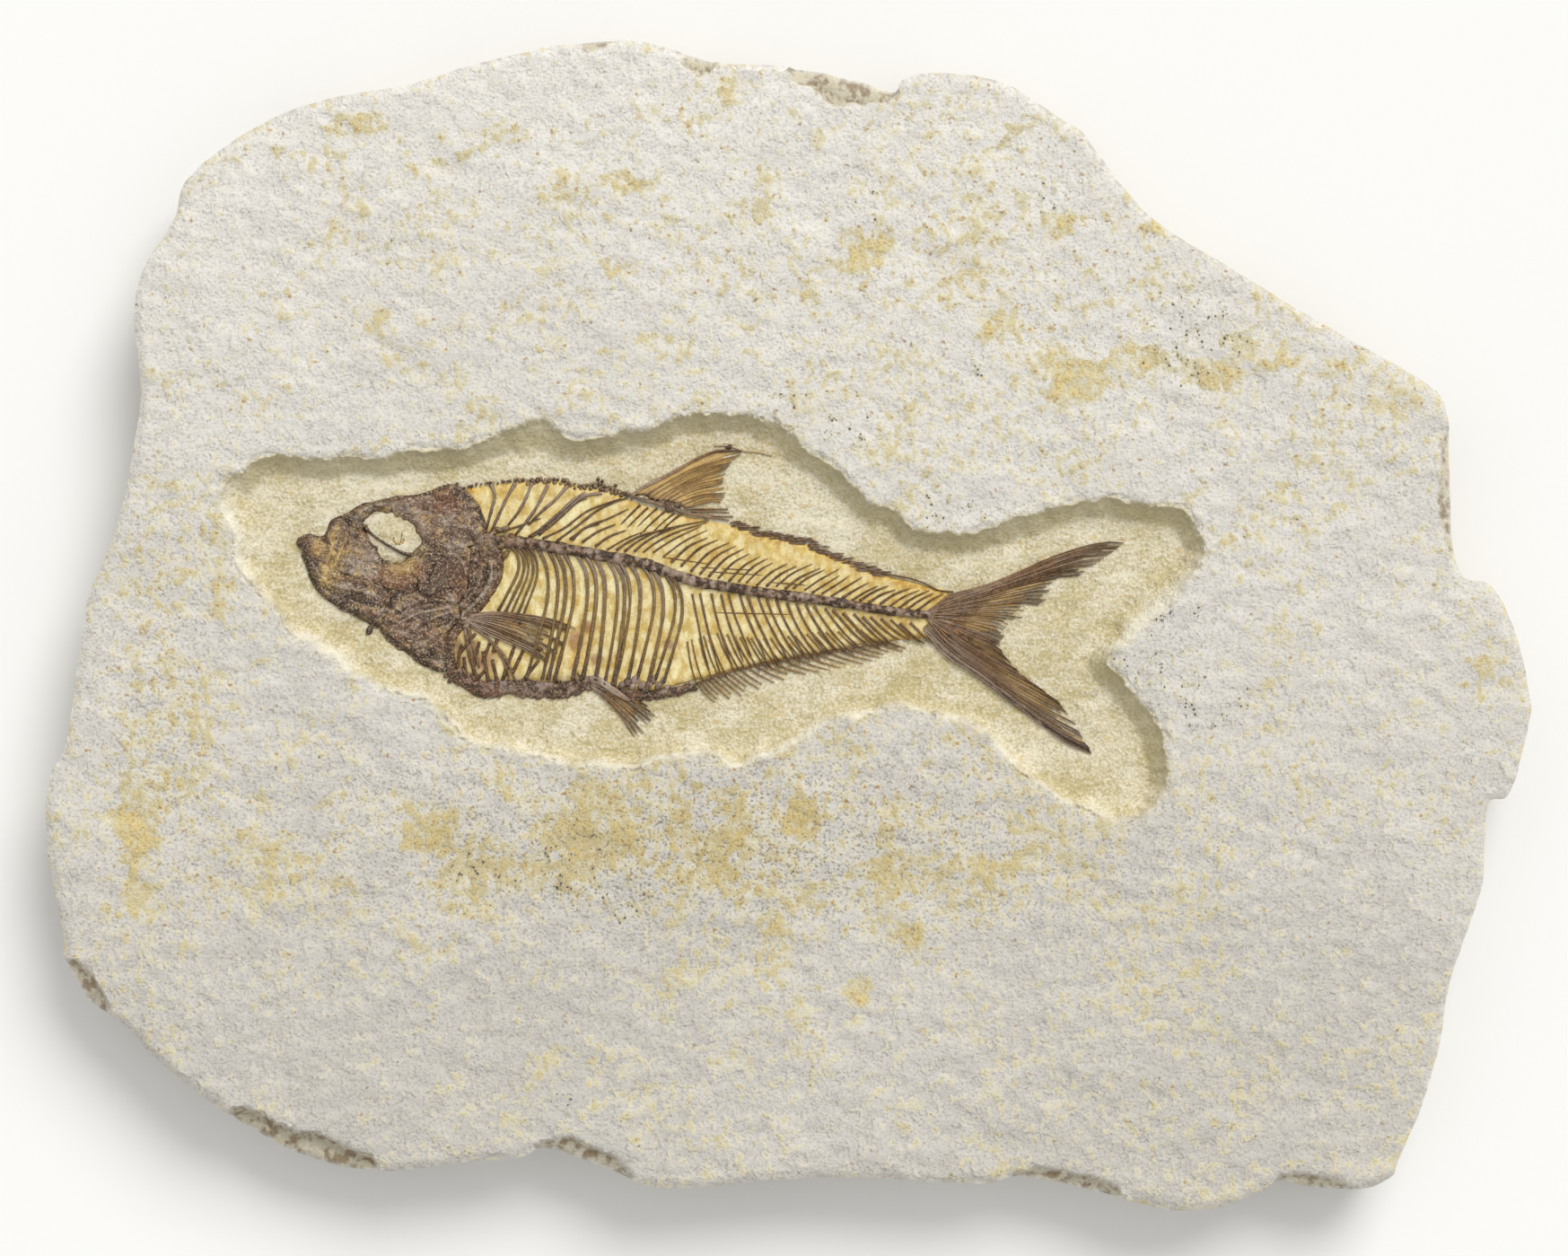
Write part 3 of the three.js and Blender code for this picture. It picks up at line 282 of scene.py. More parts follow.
DORSAL_RAYS = [
    [(-26.5, 21.7), (-23.8, 23.5), (-19.3, 25.8), (-15.5, 27.9), (-11.7, 29.4), (-7.6, 29.3)],
    [(-24.1, 21.9), (-20, 24.3), (-15.5, 26.6), (-7.9, 28.8)],
    [(-23.5, 21.3), (-19.2, 24), (-14.7, 26.3), (-9.4, 27.5)],
    [(-22.6, 21), (-18.5, 23.5), (-14, 25.8), (-9.7, 27)],
    [(-21.8, 20.8), (-17.7, 23.5), (-13.2, 25.3), (-10.2, 26.4)],
    [(-20.7, 21), (-16.2, 23.5), (-10.8, 24.7)],
    [(-20, 20.8), (-15.5, 22.8), (-10.9, 24)],
    [(-18.9, 20.5), (-14.7, 22), (-10.5, 22.3)],
    [(-18, 20.2), (-14, 21.6), (-10.6, 21.6)],
    [(-17.4, 19.8), (-13.2, 20.8), (-11.2, 20.7)],
    [(-17, 19.6), (-13, 19.6), (-10, 19.6)],
    [(-16.2, 19.2), (-12.6, 19.1), (-9.7, 19)],
    [(-15.9, 18.6), (-12.4, 18.4), (-9.1, 18.3)],
]
DORSAL_BASE = [
    (-26.8, 22), (-24.6, 21.2), (-22.3, 20.6), (-19.2, 19.7), (-17, 18.9), (-13.4, 18.2), (-9.8, 17.7),
]
# A thin bone that lies across the tip of the dorsal fin.
SLIVER = [(-12.4, 30.2), (-9.9, 30.2), (-7.5, 29.4), (-4.9, 29.1), (-2.6, 28.5)]

PECTORAL_GUIDES = [
    [(-53.8, 1.5), (-50.8, 2.1), (-46.1, 2), (-41.6, 1.4), (-38.4, 0.6), (-35.7, -0.6)],
    [(-53.8, 1.2), (-49.4, 1.4), (-44.1, 0.3), (-40.1, -1.1), (-37, -2.6)],
    [(-53.8, 0.8), (-50.2, 0), (-46, -1.7), (-42.2, -3.6), (-39.6, -5.6)],
    [(-53.6, 0.4), (-51.4, -1), (-48, -2.6), (-44, -4.4), (-41.4, -6.4)],
]
PECTORAL_LOOSE_RAYS = [
    [(-53.4, 0), (-50.4, -2.4), (-47.6, -5.6), (-45.8, -9.6)],
    [(-53, -0.2), (-50, -2.8), (-48, -5.8), (-46.8, -9.6)],
    [(-53.8, -0.4), (-53, -3.6), (-52, -7.2)],
    [(-54.4, -0.4), (-54, -3.4), (-53, -6.8)],
]
PELVIC_BONE = [(-34.2, -9), (-31.8, -9.4), (-29.4, -11), (-26.6, -12.8)]
PELVIC_GUIDES = [
    [(-33.8, -9.2), (-31, -10), (-28, -11.4), (-24.9, -12.9), (-21.2, -15.1)],
    [(-33.4, -9.8), (-30.4, -11.2), (-27.4, -13.4), (-22.8, -17.2)],
    [(-33.2, -10.4), (-31, -12.4), (-28.2, -15.4), (-24.9, -20.5)],
]
ANAL_GUIDES = [
    [(-15.2, -9.7), (-13.8, -11.8), (-11.7, -13.7)],
    [(-12.3, -8.6), (-9.9, -10.4), (-7.8, -12.1)],
    [(-8.4, -7.5), (-6, -9.1), (-3.8, -10.3)],
    [(-2.9, -6.3), (-0.2, -7.5), (3.1, -8.1)],
    [(4.1, -5), (7.2, -6), (10.3, -6.6)],
    [(10.9, -3.9), (14, -4.7), (17, -5)],
    [(17, -2.9), (19.4, -3.5), (21.8, -3.8)],
]
UPPER_TAIL_GUIDES = [
    [(24.6, 2.9), (27, 4.9), (30.8, 6), (34, 6.9), (39.6, 9.2), (45.6, 11.9), (52.7, 13.9), (56.8, 13.9)],
    [(24.6, 2.7), (30.6, 5), (36.6, 7.1), (42.6, 9.2), (48.7, 11.3), (54.4, 12)],
    [(24.6, 2.5), (31.3, 4.4), (38.1, 6.4), (44.1, 7.8), (49.3, 8.4)],
    [(24.6, 2.3), (31.3, 3.4), (36.6, 4.2), (41.1, 5), (44.3, 4.8)],
    [(24.6, 2.1), (31.3, 2.4), (35.8, 2.4), (40.6, 2.1)],
    [(24.7, 1.8), (30.6, 1.2), (35.1, 0.6), (37.8, -0.4)],
    [(24.8, 1.5), (29, 0), (32.8, -1.4), (35.8, -2.9)],
]
LOWER_TAIL_GUIDES = [
    [(24.8, 1.2), (29.8, -1.4), (33.6, -3), (36.3, -4.7)],
    [(24.4, 0.9), (30.6, -2.9), (35.1, -5.6), (39.6, -8.4)],
    [(24, 0.6), (29.8, -3.6), (35.1, -6.9), (41.1, -10), (45.9, -13)],
    [(23.6, 0.2), (29, -4.4), (34.3, -8.1), (41.1, -12.7), (48.5, -16.6)],
    [(23, -0.3), (27.5, -4.7), (32.8, -8.4), (39.6, -13.4), (46.4, -18), (50.8, -20.5)],
    [(23, -0.9), (26.8, -5.3), (31.3, -8.1), (36.6, -12.2), (41.1, -15.5), (46.4, -19.5), (51.2, -21.7)],
]

# Raised and sunk lines on the head: the line, half its width, its height and the tones it takes. The light
# tone on the raised lines is partly a painted purple-grey highlight.
HEAD_LINES = [
    ([(-73.2, 15.4), (-72.8, 17.8), (-71, 19.9), (-68.3, 20.6), (-65.1, 20.3), (-63.1, 18.9)],
     0.5, 0.4, {"light": 0.5}),
    ([(-72.8, 19.5), (-70.5, 20.5), (-67.1, 21.1), (-63.4, 21.7), (-60.3, 22.2), (-57.4, 23.3)],
     0.4, 0.2, {"dark": 0.6}),
    ([(-56.2, 22.8), (-54.2, 21.6), (-52.7, 20.2), (-51.5, 18.4), (-51.2, 16.9)], 0.5, 0.15, {"dark": 0.9}),
    ([(-82.2, 14.2), (-80.3, 14.8), (-78.1, 14.3), (-76, 12.7)], 0.35, 0.2, {"dark": 0.6}),
    ([(-77.9, 14.5), (-77.5, 16.3), (-76.3, 17.7), (-74.3, 18.4)], 0.4, 0.2, {"dark": 0.7}),
    ([(-74.5, 14.5), (-75.5, 12.1), (-76.4, 10)], 0.22, 0.15, {"gold": 0.9}),
    ([(-73.6, 14.2), (-74.6, 11.2), (-75.4, 9.4)], 0.2, 0.15, {"gold": 0.8}),
    ([(-76.6, 14), (-77.2, 12), (-77.8, 10.4)], 0.3, 0.15, {"gold": 0.8}),
    ([(-72.9, 16.3), (-71.7, 13.9), (-70.2, 11.8), (-69.2, 10.4)], 0.3, 0.2, {"dark": 0.7}),
    ([(-82.5, 13.6), (-81.5, 11.5), (-80.3, 8.4), (-79.1, 6)], 0.5, 0.3, {"dark": 1.0}),
    ([(-80.3, 10.6), (-79.1, 8.8), (-77.9, 7.3)], 0.25, 0.2, {"light": 0.9}),
    ([(-79.1, 6), (-77.3, 4.7), (-75.1, 3.3), (-72, 2), (-69.3, 0.2)],
     0.45, 0.25, {"dark": 0.7, "light": 0.3}),
    ([(-78.4, 6.2), (-75.1, 4.9), (-71.7, 3.8), (-68.4, 3.1)], 0.28, -0.15, {"dark": 1.0}),
    ([(-77.5, 6.9), (-74.3, 6.2), (-71.1, 5.4), (-68.4, 4.3)], 0.35, 0.25, {"light": 0.8}),
    ([(-57.9, 12.2), (-59.3, 10.3), (-60.5, 8.1), (-61.5, 5.9)], 0.3, -0.15, {"dark": 0.7}),
    ([(-57.7, 12.1), (-55.9, 11.6), (-54.7, 10.3), (-54.1, 8.4)], 0.35, 0.25, {"light": 0.6, "red": 0.3}),
    ([(-54.1, 8.4), (-54.5, 6.2), (-55.7, 4.2)], 0.4, 0.2, {"red": 0.6}),
    ([(-66.9, 4.2), (-65.4, 5.6), (-63.3, 6.2), (-61, 5.6)], 0.35, 0.1, {"dark": 1.0}),
    ([(-57, 3), (-60, 2.4), (-62.7, 1.8), (-65.6, 0.3)], 0.24, 0.3, {"light": 0.9}),
    ([(-57, 2.1), (-59.7, 1.2), (-62.5, -0.2), (-65.4, -2.1)], 0.26, 0.3, {"light": 0.8}),
    ([(-61.5, 4.5), (-63.6, 3), (-65.4, 1.2)], 0.24, 0.2, {"light": 0.6}),
    ([(-56.1, 1.2), (-57.9, -0.6), (-60.3, -2.4), (-62.7, -3.9)], 0.25, 0.25, {"light": 0.6}),
    ([(-57.3, 3.8), (-60.3, 3.7), (-63.3, 3.2), (-66, 1.9)], 0.2, -0.12, {"dark": 1.0}),
    ([(-57.2, 0.4), (-60, -0.6), (-63, -2)], 0.25, -0.12, {"dark": 0.9}),
    ([(-68.4, -0.6), (-66.3, -2.6), (-63.7, -4.5), (-61.5, -6.3), (-59.4, -7.4), (-57.1, -8)],
     0.45, 0.1, {"dark": 0.8}),
    ([(-49, 12.4), (-48.4, 10.2), (-48.6, 8), (-49.6, 5.8), (-51, 3.8), (-52.6, 2)],
     0.45, 0.3, {"red": 0.35, "dark": 0.3}),
    ([(-49.9, 10.4), (-50, 8), (-51, 5.8), (-53, 3.5), (-54.8, 1.8)], 0.36, 0.35, {"light": 1.0}),
    ([(-50.7, 10.4), (-50.9, 7.8), (-51.9, 5.6), (-53.8, 3.6)], 0.22, -0.2, {"dark": 1.0}),
    ([(-51.6, 10), (-51.9, 7.6), (-53.1, 5.4), (-55, 3.5)], 0.33, 0.3, {"light": 0.6}),
    ([(-52.4, 9.6), (-52.7, 7.2), (-54, 5)], 0.2, -0.2, {"dark": 0.9}),
    ([(-55.3, 0.9), (-56.5, -1.2), (-57, -3.3), (-56.8, -5.7), (-56.2, -7.8)], 0.4, 0.25, {"dark": 0.6}),
    ([(-53.8, 2.4), (-55.4, 3.6), (-57.4, 4.2)], 0.4, 0.3, {"light": 0.7}),
]

# The smooth dark plate of the gill cover.
GILL_PLATE = [
    (-60.9, 4.9), (-60.4, 8.2), (-59.2, 10.6), (-57.4, 11.8), (-55.9, 10.8), (-54.2, 9.6), (-53.6, 8.2),
    (-55.2, 7.1), (-58.3, 5.6),
]

# Rounded patches of tone on the head: x, y, reach, the tone and its strength.
HEAD_PATCHES = [
    (-71.7, 10.6, 4.2, "light", 0.75), (-69.8, 8.4, 2.6, "light", 0.5), (-77.2, 8.2, 3.0, "gold", 0.6),
    (-79.4, 12.6, 2.0, "gold", 0.5), (-76.4, 12.4, 3.0, "gold", 0.4), (-76.4, 15.4, 2.4, "gold", 0.3),
    (-67.2, 7.2, 4.4, "red", 0.7), (-62.2, 8.6, 3.4, "red", 0.55), (-64.2, 10, 3.4, "gold", 0.6),
    (-66.8, 8.6, 2.6, "gold", 0.5), (-72.6, 13.2, 2.6, "light", 0.4),
    (-62.6, 18.6, 6.0, "light", 0.35), (-56.4, 18.4, 5.0, "light", 0.3), (-57.6, 20.6, 3.0, "red", 0.5),
    (-55.1, 13.6, 2.6, "light", 0.6), (-58.4, 9.0, 3.4, "dark", 0.4), (-55.9, 6.6, 2.2, "red", 0.7),
    (-63.6, 3.2, 3.6, "dark", 0.6), (-63.4, 3.2, 3.2, "light", 0.35), (-59.7, -1.8, 3.2, "red", 0.5),
    (-56.4, 2.8, 1.8, "light", 0.5), (-59.8, -5.2, 3.0, "dark", 0.45), (-73.6, 3.6, 3.4, "dark", 0.35),
]

rng = np.random.default_rng(2207)


def smoothstep(low, high, value):
    """Rises smoothly from 0 at low to 1 at high. Low may be the larger number."""
    t = np.clip((value - low) / (high - low), 0, 1)
    return t * t * (3 - 2 * t)


def cell_value(column, row, seed):
    """A fixed random number from 0 to 1 for each cell of a square lattice."""
    mask = 0xFFFFFFFF
    hashed = (column * 374761393 + row * 668265263 + seed * 974634777) & mask
    hashed = ((hashed ^ (hashed >> 13)) * 1274126177) & mask
    return ((hashed ^ (hashed >> 16)) & 0xFFFF) / 0xFFFF


def noise(x, y, size, seed):
    """Smooth noise from 0 to 1, with lumps about as wide as the size given."""
    u = x / size
    v = y / size
    column = np.floor(u).astype(np.int64)
    row = np.floor(v).astype(np.int64)
    across = smoothstep(0, 1, u - column)
    along = smoothstep(0, 1, v - row)
    near = cell_value(column, row, seed) * (1 - across) + cell_value(column + 1, row, seed) * across
    far = cell_value(column, row + 1, seed) * (1 - across) + cell_value(column + 1, row + 1, seed) * across
    return near * (1 - along) + far * along


def fractal(x, y, size, seed, octaves=3):
    """Layers of ever finer noise. Each layer is turned, so that no lattice direction shows."""
    total = 0
    weight = 0
    for k in range(octaves):
        angle = 0.6 + 1.1 * k
        u = x * math.cos(angle) - y * math.sin(angle)
        v = x * math.sin(angle) + y * math.cos(angle)
        total = total + noise(u, v, size / 2**k, seed + 17 * k) / 2**k
        weight += 1 / 2**k
    return total / weight


def terraces(value, steps, riser=0.3):
    """Turns a smooth field into flat steps with short risers between them."""
    scaled = value * steps
    level = np.floor(scaled)
    return (level + smoothstep(1 - riser, 1, scaled - level)) / steps


def smooth_line(points, step, closed=False):
    """Evenly spaced points on a smooth curve through the given ones."""
    p = np.array(points, float)
    if closed:
        padded = np.vstack([p[-1:], p, p[:2]])
    else:
        padded = np.vstack([2 * p[:1] - p[1:2], p, 2 * p[-1:] - p[-2:-1]])
    t = np.linspace(0, 1, 12, endpoint=False)[:, None]
    spans = []
    for a, b, c, d in zip(padded, padded[1:], padded[2:], padded[3:]):
        bend = (2 * a - 5 * b + 4 * c - d) * t**2 + (3 * b - a - 3 * c + d) * t**3
        spans.append(0.5 * (2 * b + (c - a) * t + bend))
    dense = np.vstack(spans + [p[:1] if closed else p[-1:]])
    lengths = np.r_[0, np.cumsum(np.linalg.norm(np.diff(dense, axis=0), axis=1))]
    count = max(2, round(lengths[-1] / step))
    even = np.linspace(0, lengths[-1], count + 1)
    line = np.stack([np.interp(even, lengths, dense[:, k]) for k in (0, 1)], 1)
    return line[:-1] if closed else line


def resample(points, count):
    """The same curve with a fixed number of even points."""
    line = smooth_line(points, 0.1)
    shares = np.linspace(0, len(line) - 1, count)
    return np.stack([np.interp(shares, np.arange(len(line)), line[:, k]) for k in (0, 1)], 1)


def between(guides, share, count=14):
    """The line at a share of the way across a row of guide lines."""
    place = share * (len(guides) - 1)
    index = min(len(guides) - 2, int(place))
    part = place - index
    return resample(guides[index], count) * (1 - part) + resample(guides[index + 1], count) * part


def to_line(points, line, closed=False):
    """Distance from each point to a line, and the index of the line's nearest point."""
    index = np.empty(len(points), int)
    for start in range(0, len(points), 4000):
        part = points[start : start + 4000]
        square = ((part[:, None, :] - line[None, :, :]) ** 2).sum(2)
        index[start : start + 4000] = square.argmin(1)
    nearest = line[index]
    distance = np.linalg.norm(points - nearest, axis=1)
    last = len(line) - 1
    for step in (-1, 1):
        other = (index + step) % len(line) if closed else np.clip(index + step, 0, last)
        edge = line[other] - nearest
        length = np.maximum((edge**2).sum(1), 1e-9)
        t = np.clip(((points - nearest) * edge).sum(1) / length, 0, 1)
        distance = np.minimum(distance, np.linalg.norm(points - nearest - edge * t[:, None], axis=1))
    return distance, index


def inside(points, loop):
    """Which points lie inside a closed loop."""
    x, y = points[:, 0], points[:, 1]
    result = np.zeros(len(points), bool)
    for (xa, ya), (xb, yb) in zip(loop, np.roll(loop, -1, axis=0)):
        if ya == yb:
            continue
        crosses = ((ya > y) != (yb > y)) & (x < (xb - xa) * (y - ya) / (yb - ya) + xa)
        result ^= crosses
    return result


def lattice_points(loop, spacing):
    """Points of a slightly shaken triangular lattice over a loop's box."""
    low = loop.min(0)
    high = loop.max(0)
    rows = np.arange(low[1], high[1], spacing * 0.866)
    columns = np.arange(low[0], high[0], spacing)
    x, y = np.meshgrid(columns, rows)
    x = x + (np.arange(len(rows))[:, None] % 2) * spacing / 2
    points = np.stack([x.ravel(), y.ravel()], 1)
    return points + rng.uniform(-0.2, 0.2, points.shape) * spacing


def fill(loops, inner):
    """Triangles over the first loop, with the other loops as holes."""
    points = np.vstack([*loops, inner])
    edges = []
    start = 0
    for loop in loops:
        size = len(loop)
        edges += [(start + k, start + (k + 1) % size) for k in range(size)]
        start += size
    found = delaunay_2d_cdt([Vector(p) for p in points], edges, [], 0, 1e-7)
    flat = np.array([tuple(v) for v in found[0]])
    triangles = np.array(found[2])
    on_border = (triangles < start).all(1)
    middles = flat[triangles[on_border]].mean(1)
    keep_middle = inside(middles, loops[0])
    for hole in loops[1:]:
        keep_middle &= ~inside(middles, hole)
    keep = ~on_border
    keep[on_border] = keep_middle
    return flat, triangles[keep]


def inward_normals(loop, reach):
    """Unit vectors that point into a loop, whichever way round it runs."""
    tangent = np.roll(loop, -reach, axis=0) - np.roll(loop, reach, axis=0)
    normal = np.stack([-tangent[:, 1], tangent[:, 0]], 1)
    normal /= np.linalg.norm(normal, axis=1)[:, None]
    ahead = np.roll(loop, -1, axis=0)
    area = (loop[:, 0] * ahead[:, 1] - ahead[:, 0] * loop[:, 1]).sum()
    return normal if area > 0 else -normal


class Piece:
    """Corners, faces and tones collected for one object."""

    def __init__(self, tones):
        self.corners = []
        self.faces = []
        self.tones = {tone: [] for tone in tones}
        self.count = 0

    def add(self, corners, faces, tones):
        """Faces may have different numbers of corners. A tone is one number, or one for each corner."""
        self.corners.append(corners)
        self.faces += [[int(corner) + self.count for corner in face] for face in faces]
        for tone, values in self.tones.items():
            values.append(np.broadcast_to(np.ravel(np.clip(tones.get(tone, 0.0), 0, 1)), len(corners)))
        self.count += len(corners)

    def build(self, name, material, node):
        mesh = bpy.data.meshes.new(name)
        mesh.from_pydata(np.vstack(self.corners) * MM, [], self.faces)
        mesh.polygons.foreach_set("use_smooth", [True] * len(mesh.polygons))
        for tone, values in self.tones.items():
            attribute = mesh.attributes.new(tone, "FLOAT", "POINT")
            attribute.data.foreach_set("value", np.concatenate(values).astype(np.float32))
        mesh.materials.append(material)
        mesh.update()
        piece = bpy.data.objects.new(name, mesh)
        bpy.context.scene.collection.objects.link(piece)
        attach(piece, "root")
        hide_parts(node)
        return piece


STONE_TONES = ("bed", "stain", "speck", "rust", "chip", "side", "pale", "painted_shade", "bright", "coarse")
# The light tone is a purple-grey tint, partly painted sheen; the dark tone is partly painted shade on the
# flanks and edges of bones.
BONE_TONES = ("light", "gold", "dark", "red")


def split_face(x, y):
    """The split face: its height, and how far its palest top skin has come away at each place."""
    u = 0.96 * x - 0.28 * y
    v = 0.28 * x + 0.96 * y
    waves = 0.45 * (fractal(x, y, 46, 1, 2) - 0.5)
    plates = 1.15 * (terraces(fractal(u, v * 1.5, 13, 2, 5), 11) - 0.5)
    lumps = 0.62 * (fractal(u * 0.75, v * 1.3, 2.6, 3, 2) - 0.5)
    worn = smoothstep(0.55, 0.47, fractal(u, v * 1.25, 5.5, 4, 4))
    return SLAB_TOP - 0.2 + waves + plates + lumps - 0.13 * worn, worn


def bed_height(x, y):
    """The prepared floor, with the long shallow strokes of the tool that cleared it."""
    slant = y + 0.08 * x + 1.5 * fractal(x, y, 14, 21, 2)
    strokes = fractal(x * 0.16, slant, 1.5, 22, 3) - 0.5
    lumps = fractal(x, y, 7, 23, 3) - 0.5
    from_eye = np.hypot(x - EYE_MIDDLE[0], y - EYE_MIDDLE[1])
    left_in_eye = 0.55 * (1 - smoothstep(3.4, 5.2, from_eye))
    return FLOOR - 0.06 + 0.34 * strokes + 0.2 * lumps + left_in_eye


def ledge_drop(points, from_edge):
    """How far a broken ledge lies below the face, at each point."""
    drop = np.zeros(len(points))
    for start, end, width, depth in EDGE_LEDGES:
        start = np.array(start, float)
        span = np.array(end, float) - start
        share = ((points - start) @ span) / (span @ span)
        near = np.linalg.norm(points - start - np.clip(share, 0, 1)[:, None] * span, axis=1) < width + 5
        ends = np.sqrt(np.clip(4 * share * (1 - share), 0, 1))
        reach = width * ends * (0.7 + 0.7 * fractal(points[:, 0], points[:, 1], 4, 31, 2))
        inner = 1 - smoothstep(-0.5, 0.5, from_edge - reach)
        drop = np.maximum(drop, np.where(near & (share > 0) & (share < 1), depth * inner, 0))
    return drop


def spots(points, places, wobble=0.35):
    """How strongly each point lies within any of a list of rounded places."""
    x, y = points[:, 0], points[:, 1]
    ragged = wobble * (fractal(x, y, 5, 41, 3) * 2 - 1)
    value = np.zeros(len(points))
    for px, py, rx, ry in places:
        away = np.sqrt(((x - px) / (rx * 1.5)) ** 2 + ((y - py) / (ry * 1.5)) ** 2)
        value = np.maximum(value, 1 - smoothstep(0.35, 1, away + ragged))
    return value


def make_slab(material):
    """The stone: its split face, the recess with its walls and floor, and the broken side."""
    outline = smooth_line(SLAB_OUTLINE, 0.8, closed=True)
    edge_normals = inward_normals(outline, 5)
    ragged = 0.5 * (fractal(outline[:, 0], outline[:, 1], 3.2, 51, 3) - 0.35)
    outline = outline + edge_normals * ragged[:, None]
    rim = smooth_line(RECESS_RIM, 0.32, closed=True)
    rim_normals = inward_normals(rim, 4)
    scallop = 1.5 * (fractal(rim[:, 0], rim[:, 1], 4.5, 52, 2) - 0.5)
    scallop += 1.1 * (fractal(rim[:, 0], rim[:, 1], 1.4, 55, 2) - 0.5)
    rim = rim + rim_normals * scallop[:, None]
    rim_normals = inward_normals(rim, 10)
    # One on the wall at the upper right, which lies in shade, and nothing on the wall across from it.
    facing = 0.5 - 0.5 * (rim_normals @ np.array([0.45, 0.89]))
    run = WALL_SOUTH + (WALL_NORTH - WALL_SOUTH) * smoothstep(0.15, 0.85, facing)
    for gx, gy, reach, extra in GENTLE_WALLS:
        run = run + extra * (1 - smoothstep(0, reach, np.hypot(rim[:, 0] - gx, rim[:, 1] - gy)))
    run = run * (0.85 + 0.3 * noise(rim[:, 0], rim[:, 1], 6, 53))
    film = smooth_line(FILM_OUTLINE, 1.5, closed=True)

    face = lattice_points(outline, FACE_SPACING)
    face = face[inside(face, outline)]
    from_edge, _ = to_line(face, outline, closed=True)
    from_rim, _ = to_line(face, rim, closed=True)
    face = face[(from_edge > 0.55) & (from_rim > 2.4) & ~inside(face, rim)]
    band = lattice_points(rim + 3 * np.sign(rim - rim.mean(0)), WALL_SPACING + 0.06)
    from_rim, _ = to_line(band, rim, closed=True)
    band = band[(from_rim > 0.28) & (from_rim < 2.3) & ~inside(band, rim)]
    wall = lattice_points(rim, WALL_SPACING)
    wall = wall[inside(wall, rim)]
    depth, index = to_line(wall, rim, closed=True)
    wall = wall[(depth > 0.28) & (depth < run[index] + 0.4)]
    floor = lattice_points(rim, FLOOR_SPACING)
    floor = floor[inside(floor, rim)]
    depth, index = to_line(floor, rim, closed=True)
    floor = floor[depth > run[index] + 0.6]
    hidden = inside(floor, film) & (to_line(floor, film, closed=True)[0] > 1.5)
    floor = floor[~hidden | (rng.random(len(floor)) < 0.12)]

    flat, triangles = fill([outline], np.vstack([rim, face, band, wall, floor]))
    x, y = flat[:, 0], flat[:, 1]
    from_edge, _ = to_line(flat, outline, closed=True)
    depth, index = to_line(flat, rim, closed=True)
    within = inside(flat, rim) | (depth < 1e-6)
    top, worn = split_face(x, y)
    bed = bed_height(x, y)
    share = np.where(within, np.clip(depth / run[index], 0, 1), 0)
    left = 0.88 * (1 - share) ** 1.08 + 0.12 * (1 - smoothstep(0, 0.4, depth))
    beds = 0.5 * terraces(left + 0.1 * (fractal(x, y, 3, 65, 2) - 0.5), 6, 0.55)
    left = np.where(share < 0.97, 0.5 * left + beds, left)
    # Thin flakes have come away beside the rim.
    flaked = 0.4 * (1 - smoothstep(-0.12, 0.12, depth - 2.6 * (fractal(x, y, 3.4, 56, 3) - 0.36)))
    flaked += 0.3 * (1 - smoothstep(-0.12, 0.12, depth - 2.0 * (fractal(x, y, 2.2, 57, 3) - 0.42)))
    top = top - np.where(within, 0.25, flaked * smoothstep(-0.1, 0.3, depth + 0.1))
    height = np.where(within, bed + (top - bed) * left, top)
    chipped = ledge_drop(flat, from_edge)
    bevel = 0.9 * (1 - smoothstep(0, 1.1, from_edge + 0.9 * (fractal(x, y, 2.6, 54, 2) - 0.5)))
    height = height - np.where(chipped > 0, chipped, 0) - bevel

    specks = spots(flat, [(px, py, r, r) for px, py, r in SPECK_CLUSTERS], 0.3)
    below_fish = np.exp(-(((x + 14) / 62) ** 2) - (((y + 36) / 15) ** 2))
    left_edge = np.exp(-(((x + 106) / 9) ** 2) - (((y + 14) / 34) ** 2))
    upper_right = np.exp(-(((x - 40) / 70) ** 2) - (((y - 60) / 30) ** 2))
    cloudy = fractal(x, y, 9, 58, 4) - 0.5
    places = spots(flat, STAINS, 0.8)
    strength = 0.17 + 0.36 * below_fish + 0.24 * left_edge + 0.24 * upper_right + 0.86 * cloudy
    warmth = strength * (0.8 + (0.15 + 0.7 * below_fish) * worn) + 0.54 * places
    rust = 0.2 + 0.5 * below_fish + 0.5 * left_edge + 0.35 * upper_right + 0.5 * places
    # The face is paler towards its top edge (+Y).
    pale = 0.5 + 0.0052 * y + 0.38 * (fractal(x, y, 50, 59, 2) - 0.5)
    coarse = 0.25 + 0.75 * below_fish + 0.35 * left_edge
    piece = Piece(STONE_TONES)
    on_floor = np.where(within, 0.6 + 0.4 * smoothstep(0.05, 0.5, share), 0)
    near_rim = np.where(within, 0.0, 0.3 * np.exp(-depth / 1.0))
    beside_back = np.exp(-((x - 4) ** 2 + (y - 20) ** 2) / 90) + np.exp(-((x + 70) ** 2 + (y - 26) ** 2) / 60)
    floor_pale = 0.52 + 1.5 * (fractal(x, y * 1.6, 5, 63, 4) - 0.5) + 0.45 * beside_back
    # Painted shade: an olive-grey tint on the wall at the upper right, which faces away from the light, and a
    # dark line just inside the rim all round.
    shaded = smoothstep(0.45, 0.85, facing)[index]
    painted_wall_shade = shaded * smoothstep(1.08, 0.62, share) + 0.3 * smoothstep(0.45, 0.1, depth)
    beside_rim = np.where(within, smoothstep(0.6, 0.1, share), np.exp(-depth / 0.25))
    # Painted highlight: a pale line along the rim on the side that faces the light.
    painted_rim_highlight = smoothstep(0.5, 0.25, facing)[index] * beside_rim
    painted_rim_highlight = painted_rim_highlight * smoothstep(0.3, 0.6, fractal(x, y, 2.4, 64, 3))
